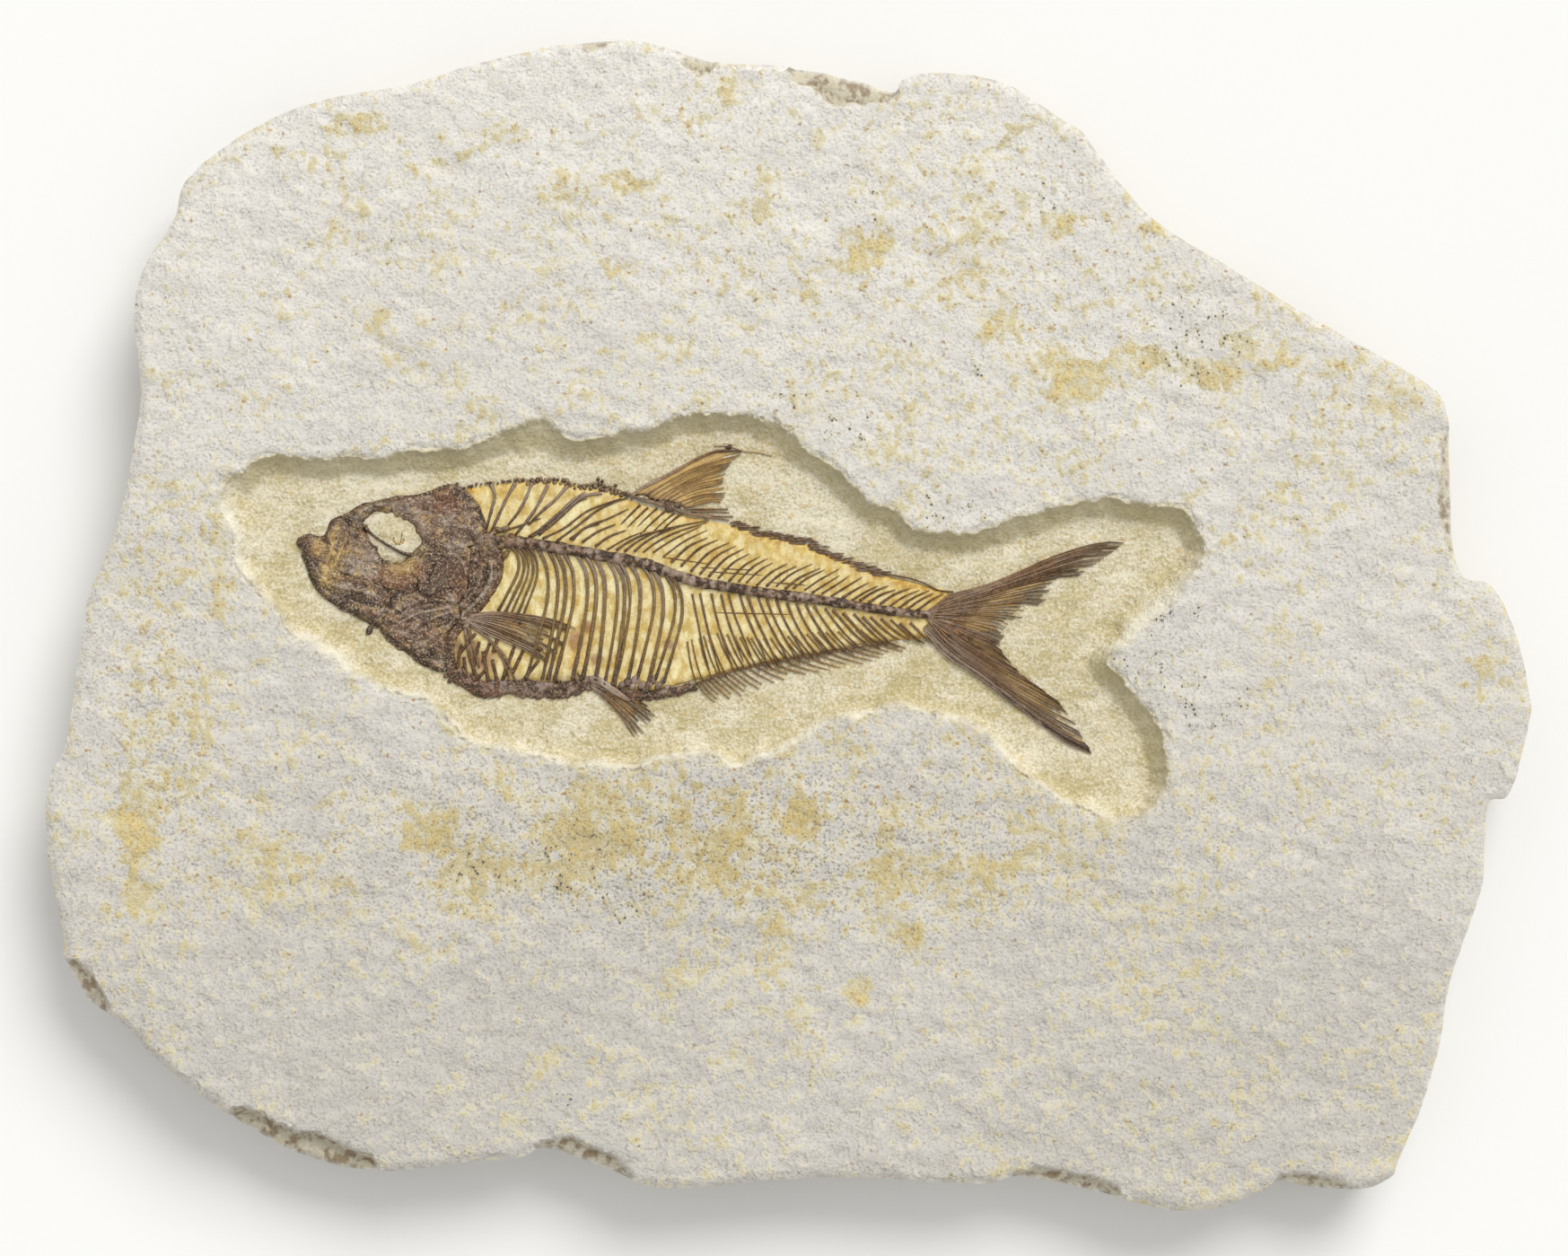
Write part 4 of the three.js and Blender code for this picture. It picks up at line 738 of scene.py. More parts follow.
    tones = {
        "bed": np.maximum(on_floor, near_rim),
        "stain": np.where(within, 0.05, warmth),
        "speck": np.where(within, 0, specks + 0.05),
        "rust": np.where(within, 0.04, rust),
        "coarse": np.where(within, 0, coarse),
        "chip": smoothstep(0.3, 1.0, chipped) * smoothstep(0.2, 1.0, from_edge + 0.6),
        "pale": np.where(within, floor_pale, pale),
        "painted_shade": np.where(within, painted_wall_shade, 0),
        "bright": painted_rim_highlight,
    }
    piece.add(np.column_stack([flat, height]), triangles, tones)

    # Thin beds show on the broken side, each a little proud of the next.
    count = len(outline)
    top_edge = height[:count]
    rings = [np.column_stack([outline, top_edge])]
    normals = inward_normals(outline, 6)
    layers = 9
    for k in range(layers):
        drawn_back = 2.0 * (fractal(outline[:, 0], outline[:, 1], 7, 61 + k, 3) - 0.42)
        for part in (0.12, 0.88):
            level = 1 - (k + part + 0.3 * math.sin(2.3 * k)) / (layers + 0.4)
            inset = np.interp(level, [0, 0.22, 0.52, 0.9, 1], [UNDERCUT, 1.2, 0.5, 0.1, 0])
            fine = 1.1 * (fractal(outline[:, 0], outline[:, 1], 2.2, 71 + 2 * k + round(part), 3) - 0.5)
            weight = smoothstep(0, 0.12, 1 - level)
            distance = np.maximum(inset + (drawn_back + fine) * weight, 0.02)
            place = outline + normals * distance[:, None]
            rings.append(np.column_stack([place, top_edge * level]))
    bottom = outline + normals * (UNDERCUT + 0.8 * noise(outline[:, 0], outline[:, 1], 7, 99))[:, None]
    rings.append(np.column_stack([bottom, np.zeros(count)]))
    ahead = np.roll(np.arange(count), -1)
    walls = []
    for k in range(len(rings) - 1):
        upper = np.arange(count) + k * count
        walls.append(np.column_stack([upper, upper + count, ahead + (k + 1) * count, ahead + k * count]))
    walls = np.vstack(walls)
    area = (outline[:, 0] * outline[ahead, 1] - outline[ahead, 0] * outline[:, 1]).sum()
    if area < 0:
        walls = walls[:, ::-1]
    sides = np.repeat(np.linspace(0, 1, len(rings)) > 0.01, count) * 1.0
    ring_points = np.vstack(rings)
    around = ring_points[:, 0] + ring_points[:, 1]
    banded = 0.5 + 2.2 * (fractal(around * 0.06, ring_points[:, 2], 1.3, 60, 3) - 0.5)
    piece.add(ring_points, walls, {"side": sides, "stain": 0.3, "rust": 0.3, "pale": banded})

    under = lattice_points(bottom, 3.2)
    under = under[inside(under, bottom)]
    under = under[to_line(under, bottom, closed=True)[0] > 1.6]
    flat, triangles = fill([bottom], under)
    pits = 0.35 * np.clip(fractal(flat[:, 0], flat[:, 1], 12, 81, 3) - 0.5, 0, 1)
    pits[: len(bottom)] = 0
    under_tones = {"side": 1.0, "rust": 0.3, "stain": 0.2, "pale": 0.6}
    piece.add(np.column_stack([flat, pits]), triangles[:, ::-1], under_tones)
    slab = piece.build("limestone_slab", material, "slab")
    merge_close(slab, 0.00001)
    slab.data.set_sharp_from_angle(angle=math.radians(42))
    return slab


def merge_close(piece, distance):
    """Joins the rows of corners where two parts of one closed surface meet."""
    shape = bmesh.new()
    shape.from_mesh(piece.data)
    bmesh.ops.remove_doubles(shape, verts=shape.verts, dist=distance)
    shape.to_mesh(piece.data)
    shape.free()


def film_height(x, y):
    """Top of the film: an uneven crust that follows the bed."""
    lumps = fractal(x, y, 2.6, 91, 3) - 0.5
    strokes = fractal(x * 0.5, y, 0.9, 92, 2) - 0.5
    return FLOOR + FILM + 0.16 * lumps + 0.06 * strokes


def relief(piece, loops, spacing, top_of, tones_of, ground=FLOOR - 0.25):
    """A closed low relief: a fine top that rounds down to a ragged edge, and a flat hidden underside."""
    inner = lattice_points(loops[0], spacing)
    inner = inner[inside(inner, loops[0])]
    for loop in loops:
        inner = inner[to_line(inner, loop, closed=True)[0] > spacing * 0.6]
    for hole in loops[1:]:
        inner = inner[~inside(inner, hole)]
    flat, triangles = fill(loops, inner)
    from_edge = np.full(len(flat), 1e9)
    for loop in loops:
        from_edge = np.minimum(from_edge, to_line(flat, loop, closed=True)[0])
    height = top_of(flat, from_edge)
    border = sum(len(loop) for loop in loops)
    lower_flat, lower_triangles = fill(loops, np.empty((0, 2)))
    corners = np.vstack([
        np.column_stack([flat, height]),
        np.column_stack([lower_flat, np.full(len(lower_flat), ground)]),
    ])
    offset = len(flat)
    faces = [*triangles, *(lower_triangles[:, ::-1] + offset)]
    start = 0
    for number, loop in enumerate(loops):
        size = len(loop)
        ahead = np.roll(loop, -1, axis=0)
        turns_left = (loop[:, 0] * ahead[:, 1] - ahead[:, 0] * loop[:, 1]).sum() > 0
        for k in range(size):
            a, b = start + k, start + (k + 1) % size
            quad = (a, a + offset, b + offset, b)
            faces.append(quad if turns_left == (number == 0) else quad[::-1])
        start += size
    piece.add(corners, faces, tones_of(corners[:, :2], np.r_[from_edge, np.zeros(border)]))


def make_film(material):
    """The uneven ochre crust that the bones lie on."""
    loop = smooth_line(FILM_OUTLINE, 0.45, closed=True)
    wobble = 0.5 * (fractal(loop[:, 0], loop[:, 1], 1.5, 93, 3) - 0.5)
    loop = loop + inward_normals(loop, 3) * wobble[:, None]
    spine = smooth_line(SPINE_LINE, 0.5)

    def top_of(flat, from_edge):
        full = film_height(flat[:, 0], flat[:, 1])
        return FLOOR + 0.02 + (full - FLOOR - 0.02) * smoothstep(-0.1, 0.9, from_edge)

    def tones_of(flat, from_edge):
        x, y = flat[:, 0], flat[:, 1]
        spine_y = np.interp(x, spine[:, 0], spine[:, 1])
        back = smoothstep(0, 3, y - spine_y)
        tail = smoothstep(4, 20, x)
        blotches = fractal(x, y, 3.4, 94, 4)
        edge = 0.4 * (1 - smoothstep(0, 1.6, from_edge))
        strip = 0.5 * smoothstep(-22, -8, x) * smoothstep(5.4, 8, y - spine_y * 0.6)
        gold = 0.14 + 0.1 * back + 0.36 * tail + edge + 0.5 * strip + 1.25 * (blotches - 0.5)
        behind_fin = np.exp(-(((x + 38) / 6) ** 2) - (((y + 4) / 5) ** 2))
        belly = smoothstep(-7.5, -10, y) * smoothstep(-30, -36, x)
        red = spots(flat, [
            (-33.6, -0.2, 1.2, 0.9), (-32.2, -5.9, 1.2, 1.0), (-20, -3.3, 0.9, 0.8), (-50.8, -6, 1.6, 1.8),
            (-35.8, -2.7, 1.2, 1.6),
        ], 0.25)
        amber = spots(flat, [(-35.8, -7.0, 2.0, 1.8), (-33.9, -1.6, 1.0, 1.6), (-38, -0.5, 1.0, 2.0)], 0.3)
        corner = spots(flat, [(-53.8, -5.8, 2.6, 3.8)], 0.5)
        shadowed = 0.6 * belly + 0.6 * corner * smoothstep(0.36, 0.56, fractal(x, y, 1.2, 95, 3))
        return {
            "gold": gold + 0.5 * amber + 0.25 * behind_fin,
            "red": 0.7 * red + 0.4 * corner,
            "dark": shadowed,
        }

    piece = Piece(BONE_TONES)
    relief(piece, [loop], 0.42, top_of, tones_of)
    return piece.build("ochre_film", material, "fish_body")


# A bone's cross-section from foot to foot: share of its half width and of its height.
SECTION = [(-1, 0), (-0.8, 0.55), (-0.35, 0.95), (0, 1), (0.35, 0.95), (0.8, 0.55), (1, 0)]
GROOVED = [(-1, 0), (-0.8, 0.75), (-0.45, 1), (0, 0.72), (0.45, 1), (0.8, 0.75), (1, 0)]


def add_bone(piece, line, width, height, tones, ground=None, section=SECTION, ends=(0.5, 0.2), step=0.45):
    """One closed, tapered ridge along a line. Ends are the shares of the width kept at each end."""
    line = smooth_line(line, step)
    count = len(line)
    share = np.linspace(0, 1, count)
    shake = rng.uniform(0, 1000)
    body = np.interp(share, [0, 0.15, 0.5, 0.9, 1], [ends[0], 1, 1, 0.5 + 0.5 * ends[1], ends[1]])
    half = width / 2 * body * (0.82 + 0.36 * noise(share * 40, share * 0 + shake, 3.1, 7))
    tall = height * (0.55 + 0.45 * body) * (0.85 + 0.3 * noise(share * 40, share * 0 + shake, 2.3, 8))
    direction = np.gradient(line, axis=0)
    direction /= np.linalg.norm(direction, axis=1)[:, None]
    side = np.stack([-direction[:, 1], direction[:, 0]], 1)
    base = film_height(line[:, 0], line[:, 1]) if ground is None else np.full(count, ground)
    columns = []
    for across, up in section:
        place = line + side * (across * half)[:, None]
        z = base - 0.1 + (tall + 0.1) * up
        columns.append(np.column_stack([place, z]))
    size = len(section)
    corners = np.stack(columns, 1).reshape(-1, 3)
    faces = []
    for k in range(count - 1):
        for j in range(size):
            a = k * size + j
            b = k * size + (j + 1) % size
            faces.append((a, a + size, b + size, b))
    last = (count - 1) * size
    caps = [tuple(range(size)), tuple(range(last + size - 1, last - 1, -1))]
    crest = np.tile([up for _, up in section], count)
    spread = np.repeat(share, size)
    mottled = noise(np.repeat(share * 30, size) + shake, np.tile(np.arange(size) * 0.9, count), 1.6, 9)
    made = {}
    for tone, values in tones.items():
        made[tone] = np.interp(spread, np.linspace(0, 1, len(values)), values) if np.ndim(values) else values
    # Painted highlight and shade: the light tone is strongest on each bone's crest, and the dark tone is laid
    # on its lower flanks where it meets the film.
    made["light"] = made.get("light", 0) * (0.35 + 0.65 * crest) * (0.4 + 1.1 * mottled)
    made["dark"] = np.maximum(made.get("dark", 0), 0.55 * (1 - crest)) * (1.5 - 1.0 * mottled)
    piece.add(corners, faces + caps, made)


def add_bead(piece, x, y, radius, height, tones, ground=FLOOR, stretch=1.0, turn=0.0):
    """A small lumpy dome."""
    rings = [(1, -0.1), (0.92, 0.35), (0.62, 0.82)]
    around = 9
    angle = np.linspace(0, 2 * math.pi, around, endpoint=False)
    corners = []
    for share, up in rings:
        reach = radius * share * rng.uniform(0.8, 1.15, around)
        u = reach * np.cos(angle) * stretch
        v = reach * np.sin(angle)
        px = x + u * math.cos(turn) - v * math.sin(turn)
        py = y + u * math.sin(turn) + v * math.cos(turn)
        corners.append(np.column_stack([px, py, np.full(around, ground + height * up)]))
    corners = np.vstack(corners + [np.array([[x, y, ground + height]])])
    faces = []
    for k in range(2):
        for j in range(around):
            a, b = k * around + j, k * around + (j + 1) % around
            faces += [(a, b, b + around), (a, b + around, a + around)]
    faces += [(2 * around + j, 2 * around + (j + 1) % around, 3 * around) for j in range(around)]
    faces += [(0, j + 1, j) for j in range(1, around - 1)]
    piece.add(corners, faces, tones)


def grid_faces(rows, columns):
    """Quads over a grid of corners, and one face that closes it below along its border."""
    grid = np.arange(rows * columns).reshape(rows, columns)
    quads = np.dstack([grid[:-1, :-1], grid[1:, :-1], grid[1:, 1:], grid[:-1, 1:]]).reshape(-1, 4)
    border = [*grid[:, 0], *grid[-1, 1:], *grid[::-1, -1][1:], *grid[0, ::-1][1:-1]]
    return [*quads, border[::-1]]


def add_ribbon(piece, line, half_width, across, top_of, tones_of, ground=FLOOR - 0.1, step=0.16):
    """A band of relief along a line. Places on it are a share of its length and of its half width."""
    line = smooth_line(line, step)
    count = len(line)
    direction = np.gradient(line, axis=0)
    direction /= np.linalg.norm(direction, axis=1)[:, None]
    side = np.stack([-direction[:, 1], direction[:, 0]], 1)
    share = np.linspace(0, 1, count)
    v = np.linspace(-1, 1, across)
    half = half_width(share, line)
    place = line[:, None, :] + side[:, None, :] * (half[:, None] * v[None, :])[:, :, None]
    s = np.repeat(share[:, None], across, 1)
    w = np.repeat(v[None, :], count, 0)
    z = top_of(s, w, place[:, :, 0], place[:, :, 1])
    tones = tones_of(s, w, place[:, :, 0], place[:, :, 1])
    z[:, [0, -1]] = ground
    z[[0, -1], :] = ground
    piece.add(np.dstack([place, z]).reshape(-1, 3), grid_faces(count, across), tones)


def add_web(piece, guides, reach, height, gold, dark, columns=40, rows=16, ground=FLOOR):
    """The thin tissue between fin rays, with a torn outer edge."""
    size = 40  # points along each line before it is torn off
    place = np.empty((columns, rows, 2))
    torn = 0.75 + 0.5 * noise(np.arange(columns) * 1.0, np.zeros(columns), 1.5, 301 + len(guides))
    for k in range(columns):
        line = between(guides, k / (columns - 1), size)
        shares = np.linspace(0, size - 1, rows) * min(1.0, reach * torn[k])
        for axis in (0, 1):
            place[k, :, axis] = np.interp(shares, np.arange(size), line[:, axis])
    x, y = place[:, :, 0], place[:, :, 1]
    s = np.repeat(np.linspace(0, 1, rows)[None, :], columns, 0)
    z = ground + height * (1 - 0.5 * s) * (0.7 + 0.6 * fractal(x, y, 1.2, 302, 2))
    z[[0, -1], :] = ground - 0.1
    z[:, [0, -1]] = ground - 0.1
    faces = grid_faces(columns, rows)
    edge = place[0, -1] - place[0, 0]
    over = place[-1, 0] - place[0, 0]
    if over[0] * edge[1] - over[1] * edge[0] < 0:
        faces = [face[::-1] for face in faces]
    patches = fractal(x, y, 2.2, 303, 3)
    column = np.repeat(np.arange(columns)[:, None], rows, 1) * 1.0
    streaks = noise(column, s * 3, 1.3, 304) - 0.5
    tones = {
        "gold": np.interp(s, [0, 0.5, 1], gold) + 0.8 * (patches - 0.5) + 0.6 * streaks,
        "dark": np.interp(s, [0, 0.5, 1], dark) - 0.7 * streaks,
        "light": 0.3 * patches,
    }
    piece.add(np.dstack([place, z]).reshape(-1, 3), faces, tones)


def make_backbone(material):
    """The spine with its ribs, spines and fin supports, and the crushed bits beside them."""
    piece = Piece(BONE_TONES)

    def half_width(share, line):
        ragged = 0.8 + 0.4 * fractal(line[:, 0], line[:, 1], 1.1, 101, 2)
        return np.interp(share, [0, 0.1, 0.5, 1], [1.25, 1.08, 0.95, 0.8]) * ragged

    def top_of(s, w, x, y):
        uneven = s + 0.006 * (fractal(x, y, 2.5, 105, 2) - 0.5)
        bead = np.abs(np.sin(math.pi * uneven * VERTEBRAE))
        round_top = np.sqrt(np.clip(1 - w**2, 0, 1))
        lumps = fractal(x, y, 0.7, 102, 2) - 0.5
        return film_height(x, y) + 0.1 + round_top * (0.65 + 0.2 * bead**0.6) + 0.6 * lumps

    def tones_of(s, w, x, y):
        uneven = s + 0.006 * (fractal(x, y, 2.5, 105, 2) - 0.5)
        bead = np.abs(np.sin(math.pi * uneven * VERTEBRAE))
        blotch = fractal(x, y, 0.8, 103, 3)
        along = np.interp(s, [0, 0.25, 1], [0.5, 0.95, 0.85])
        # The light tone is stronger on each vertebra's raised middle, partly painted highlight; the dark tone
        # adds painted shade at the spine's rounded sides.
        light = smoothstep(0.44, 0.62, blotch) * (0.6 + 0.4 * bead) * along
        dark = 0.9 * smoothstep(0.52, 0.38, blotch) + 0.22 * (1 - bead) + 0.25 * np.abs(w) ** 3
        return {"light": light, "dark": dark, "red": 0.25 * smoothstep(0.5, 0.7, fractal(x, y, 1.6, 104, 2))}

    add_ribbon(piece, SPINE_LINE, half_width, 15, top_of, tones_of)

    spine = smooth_line(SPINE_LINE, 0.5)
    for number, (root_x, tip_x, tip_y) in enumerate(RIBS):
        root_y = np.interp(root_x, spine[:, 0], spine[:, 1]) - 0.5
        drop = root_y - tip_y
        bow = 0.9 + 0.03 * drop
        line = [
            (root_x, root_y),
            (root_x + bow, root_y - 0.16 * drop),
            (root_x + bow + 0.1, root_y - 0.4 * drop),
            (0.35 * (root_x + bow) + 0.65 * tip_x + 0.35, root_y - 0.75 * drop),
            (tip_x, tip_y),
        ]
        # Painted highlight: the middle ribs are lighter in their upper part, where the light catches them.
        painted_top_highlight = 0.95 if 8 <= number <= 17 else 0.25
        tones = {
            "light": (painted_top_highlight, 0.6 * painted_top_highlight, 0.1, 0, 0, 0.3),
            "dark": (0.1, 0.15, 0.2, 0.2, 0.3, 0.7),
            "gold": (0, 0.1, 0.25, 0.3, 0.1, 0),
        }
        width = (0.4 if number < 5 else 0.54) + 0.16 * rng.random()
        add_bone(piece, line, width, 0.5, tones, section=GROOVED if number % 2 else SECTION, ends=(1.2, 1.2))
    for start, end in LOWER_RIB_PIECES:
        add_bone(piece, [start, end], 0.66, 0.45, {"dark": 0.3}, ends=(0.8, 1.1))
    for line in SUPRANEURALS:
        tones = {"light": (0.95, 0.85, 0.45, 0.1), "dark": (0.0, 0.1, 0.35, 0.6)}
        add_bone(piece, line, 0.6, 0.42, tones, ends=(1.3, 0.7))
    for line in FRONT_NEURALS:
        add_bone(piece, line, 0.46, 0.36, {"dark": (0.2, 0.15, 0.15), "light": 0.15}, ends=(1.2, 0.3))

    def row(guides, count, width, height, tones, shake=0.2):
        roots = [guide[0][0] for guide in guides]
        for root in np.linspace(roots[0], roots[-1], count):
            share = np.interp(root, roots, np.linspace(0, 1, len(guides)))
            line = between(guides, share, 6) + rng.uniform(-shake, shake, 2)
            reach = rng.uniform(0.95, 1.2)
            line = line[0] + (line - line[0]) * reach
            add_bone(piece, line, width * rng.uniform(0.8, 1.2), height, tones, ends=(1.2, 0.3))

    pale_root = (0.25, 0.0, 0.0)
    above = {"dark": (0.1, 0.2, 0.1), "light": pale_root, "gold": (0, 0, 0.3)}
    row(NEURAL_GUIDES, 34, 0.42, 0.32, above)
    row(FIN_SUPPORT_GUIDES, 6, 0.36, 0.28, {"dark": 0.15})
    below = {"dark": (0.05, 0.15, 0.25), "light": pale_root, "gold": (0, 0.1, 0.1)}
    row(HAEMAL_GUIDES, 24, 0.46, 0.36, below)
    row(ANAL_SUPPORT_GUIDES, 30, 0.33, 0.28, {"dark": (0.05, 0.15, 0.25), "gold": (0.3, 0.1, 0)})
    for line in FINE_LINES:
        add_bone(piece, line, 0.2, 0.16, {"dark": 0.2, "red": 0.3}, ends=(0.4, 0.3))

    # Crushed bones where the spine meets the skull.
    for _ in range(46):
        x = -45.2 - 7.6 * rng.random() ** 0.8
        y = 13.9 + rng.normal(0, 1.1) * np.interp(x, [-53, -49, -45], [1.3, 1.2, 0.5])
        tones = {"light": rng.uniform(0, 1), "dark": rng.uniform(0, 0.7), "gold": rng.uniform(0, 0.3)}
        turn = rng.uniform(-0.6, 0.9)
        radius = rng.uniform(0.25, 0.55)
        add_bead(piece, x, y, radius, 0.6, tones, FLOOR + FILM + 0.35, rng.uniform(1, 2.2), turn)

    # Scales that overlap along the back.
    strip = smooth_line(BACK_STRIP, 0.4)
    for x, y in strip:
        for _ in range(2):
            px, py = x + rng.uniform(-0.7, 0.7), y + rng.uniform(-0.75, 0.35)
            length = rng.uniform(1.0, 2.2)
            slant = rng.uniform(-0.1, 0.12) * length
            tones = {"light": rng.uniform(0, 0.8), "dark": rng.uniform(0, 0.35), "red": rng.uniform(0, 0.3)}
            line = [(px - length / 2, py), (px + length / 2, py - slant)]
            add_bone(piece, line, 0.3, 0.18, tones, ends=(0.3, 0.3))
    add_bone(piece, BACK_EDGE, 0.3, 0.26, {"dark": 0.2, "red": 0.2}, ends=(0.8, 0.8))

    for x, y, radius in BELLY_LUMPS:
        tones = {"light": rng.uniform(0.5, 1.0), "dark": rng.uniform(0.0, 0.5)}
        add_bead(piece, x, y, radius, 0.55, tones, FLOOR + FILM - 0.05, stretch=1.3, turn=1.1)
    return piece.build("backbone_and_ribs", material, "backbone")


def gill_plate_share(flat):
    """One on the smooth gill plate and nothing beyond its edge."""
    plate = smooth_line(GILL_PLATE, 0.3, closed=True)
    ragged = 0.3 * (fractal(flat[:, 0], flat[:, 1], 0.9, 613, 2) - 0.5)
    depth = np.where(inside(flat, plate), to_line(flat, plate, closed=True)[0], 0)
    return smoothstep(0, 0.3, depth + ragged * (depth > 0))


def head_relief(flat, most, seed):
    """Height above the edge of a crushed head bone, with its raised and sunk lines."""
    x, y = flat[:, 0], flat[:, 1]
    lumps = fractal(x, y, 2.4, seed, 3) - 0.5
    grain = fractal(x, y, 0.7, seed + 1, 3) - 0.5
    plate = gill_plate_share(flat)
    height = most + (0.7 * lumps + 0.7 * grain) * (1 - 0.75 * plate) + 0.2 * plate
    for points, half, rise, _ in HEAD_LINES:
        line = smooth_line(points, 0.25)
        away, _ = to_line(flat, line)
        height = height + rise * (1 - smoothstep(0, half * 1.5, away))
    return height


def head_tones(flat, seed):
    """Tones of the head: mottled brown, with patches and lines of their own."""
    x, y = flat[:, 0], flat[:, 1]
    blotch = fractal(x, y, 1.3, seed + 2, 3)
    fleck = fractal(x, y, 0.55, seed + 3, 2)
    coarse = fractal(x, y, 3.0, seed + 4, 2)
    along = 0.94 * x - 0.34 * y
    streak = fractal(along * 0.3, 0.34 * x + 0.94 * y + 0.5 * coarse, 0.62, 612, 3)
    tones = {
        "light": 0.3 * smoothstep(0.48, 0.68, blotch) + 0.65 * smoothstep(0.56, 0.74, streak),
        "gold": 0.5 * smoothstep(0.54, 0.7, fractal(x, y, 1.0, seed + 5, 3)),
        "dark": 0.6 * smoothstep(0.5, 0.34, blotch) + 0.5 * smoothstep(0.46, 0.32, streak),
        "red": 0.35 * smoothstep(0.4, 0.65, coarse),
    }
    for px, py, reach, tone, strength in HEAD_PATCHES:
        near = 1 - smoothstep(0.2, 1, np.hypot(x - px, y - py) / reach + 0.5 * (blotch - 0.5))
        tones[tone] = tones[tone] + strength * near * (0.5 + 0.9 * fleck)
        if tone in ("light", "gold"):
            tones["dark"] = tones["dark"] * (1 - 0.6 * near)
    plate = gill_plate_share(flat)
    for tone in tones:
        tones[tone] = tones[tone] * (1 - 0.85 * plate)
    rim = plate * (1 - plate) * 4
    tones["dark"] = tones["dark"] + 0.5 * plate * (0.5 + 0.8 * coarse) + 0.5 * rim
    tones["red"] = tones["red"] + 0.5 * plate * smoothstep(-59.5, -55, x)
    tones["light"] = tones["light"] + 0.35 * plate * smoothstep(-56.5, -60, x) * streak
    for points, half, _, changes in HEAD_LINES:
        line = smooth_line(points, 0.25)
        broken = smoothstep(0.3, 0.6, fractal(x, y, 1.1, 611, 3))
        near = (1 - smoothstep(0.3 * half, 1.3 * half, to_line(flat, line)[0])) * (0.35 + 0.65 * broken)
        for tone in tones:
            aim = changes.get(tone, 0.0)
            tones[tone] = tones[tone] * (1 - 0.8 * near) + aim * near * (0.5 + 1.0 * fleck)
    return tones


def make_head_piece(name, node, outlines, most, seed, material, extras=None):
    """One group of crushed head bones, as relief inside the outlines given."""
    loops = []
    for number, points in enumerate(outlines):
        loop = smooth_line(points, 0.3, closed=True)
        wobble = 0.5 * (fractal(loop[:, 0], loop[:, 1], 1.3, seed + 6, 3) - 0.5)
        grown = 0.35 if number == 0 else 0
        if number:
            wobble = wobble * 1.9 + 1.0 * (fractal(loop[:, 0], loop[:, 1], 0.8, seed + 7, 2) - 0.5)
        loops.append(loop + inward_normals(loop, 2) * (wobble - grown)[:, None])
    silhouette = smooth_line(HEAD_OUTLINE, 0.3, closed=True)

    def from_free_edge(flat):
        """Distance to the head's own outline or an opening. Seams between bones don't count."""
        away = np.where(inside(flat, silhouette), to_line(flat, silhouette, closed=True)[0], 0)
        for opening in loops[1:]:
            away = np.minimum(away, to_line(flat, opening, closed=True)[0])
        return away

    def top_of(flat, from_edge):
        rise = smoothstep(-0.3, 1.2, from_free_edge(flat)) ** 0.7
        seam = 0.1 * (1 - smoothstep(0, 0.4, from_edge))
        return FLOOR + 0.08 + (head_relief(flat, most, seed) - seam - 0.08) * rise

    def tones_of(flat, from_edge):
        tones = head_tones(flat, seed)
        # Painted shade: the dark tone is raised and the light tone lowered along the free edges and openings,
        # where the relief falls to the floor.
        edge = 1 - smoothstep(0.05, 0.45, from_free_edge(flat))
        tones["dark"] = np.maximum(tones["dark"], 0.6 * edge)
        tones["light"] = tones["light"] * (1 - 0.7 * edge)
        return tones

    piece = Piece(BONE_TONES)
    relief(piece, loops, HEAD_SPACING, top_of, tones_of)
    if extras:
        extras(piece)
    return piece.build(name, material, node)


def eye_marks(piece):
    """The bar of bone across the eye, and the small stained ring left inside it."""
    bar_tones = {"dark": (0.5, 0.8, 0.9, 0.8, 0.5)}
    add_bone(piece, EYE_BAR, 0.5, 0.62, bar_tones, ground=FLOOR + 0.35, ends=(1.6, 1.6))
    for k in range(9):
        angle = 2 * math.pi * k / 9
        x, y = -65.6 + 0.85 * math.cos(angle), 14.5 + 0.8 * math.sin(angle)
        tones = {"gold": 0.9, "red": 0.1}
        add_bead(piece, x, y, 0.3, 0.14, tones, FLOOR + 0.45, stretch=1.2, turn=angle + 1.57)
    add_bone(piece, [(-65, 15.9), (-65.1, 14.9), (-65.3, 13.9)], 0.2, 0.2, {"dark": 0.3}, ground=FLOOR + 0.48)


def loose_pebble(piece):
    """A dark grain of bone that lies just under the jaw."""
    add_bead(piece, -70.6, -0.9, 0.62, 0.6, {"dark": 0.9}, FLOOR, stretch=1.5, turn=1.2)


def make_scutes(material):
    """The beaded plates along the fish's back."""
    piece = Piece(BONE_TONES)
    lower_row = smooth_line(BACK_SCUTE_LINE, 0.9) - (0.1, 0.5)
    for line in (smooth_line(BACK_SCUTE_LINE, 0.72), lower_row[lower_row[:, 0] > -44]):
        for x, y in line:
            grown = 0.7 + 0.3 * smoothstep(-54, -40, x)
            tones = {"dark": rng.uniform(0.1, 0.7), "light": rng.uniform(0, 0.6), "gold": rng.uniform(0, 0.4)}
            px, py = x + rng.uniform(-0.15, 0.15), y + rng.uniform(-0.18, 0.18)
            radius = rng.uniform(0.26, 0.42) * grown
            add_bead(piece, px, py, radius, 0.55, tones, FLOOR, rng.uniform(1, 1.5), rng.uniform(0, 3))
    for x, y, radius in [(-55.8, 23.8, 0.3), (-32, 24.6, 0.35), (-29, 23.6, 0.34), (-31.2, 24.3, 0.3)]:
        add_bead(piece, x, y, radius, 0.4, {"dark": 0.6, "light": 0.2}, FLOOR)
    return piece.build("back_scute_row", material, "back_scutes")


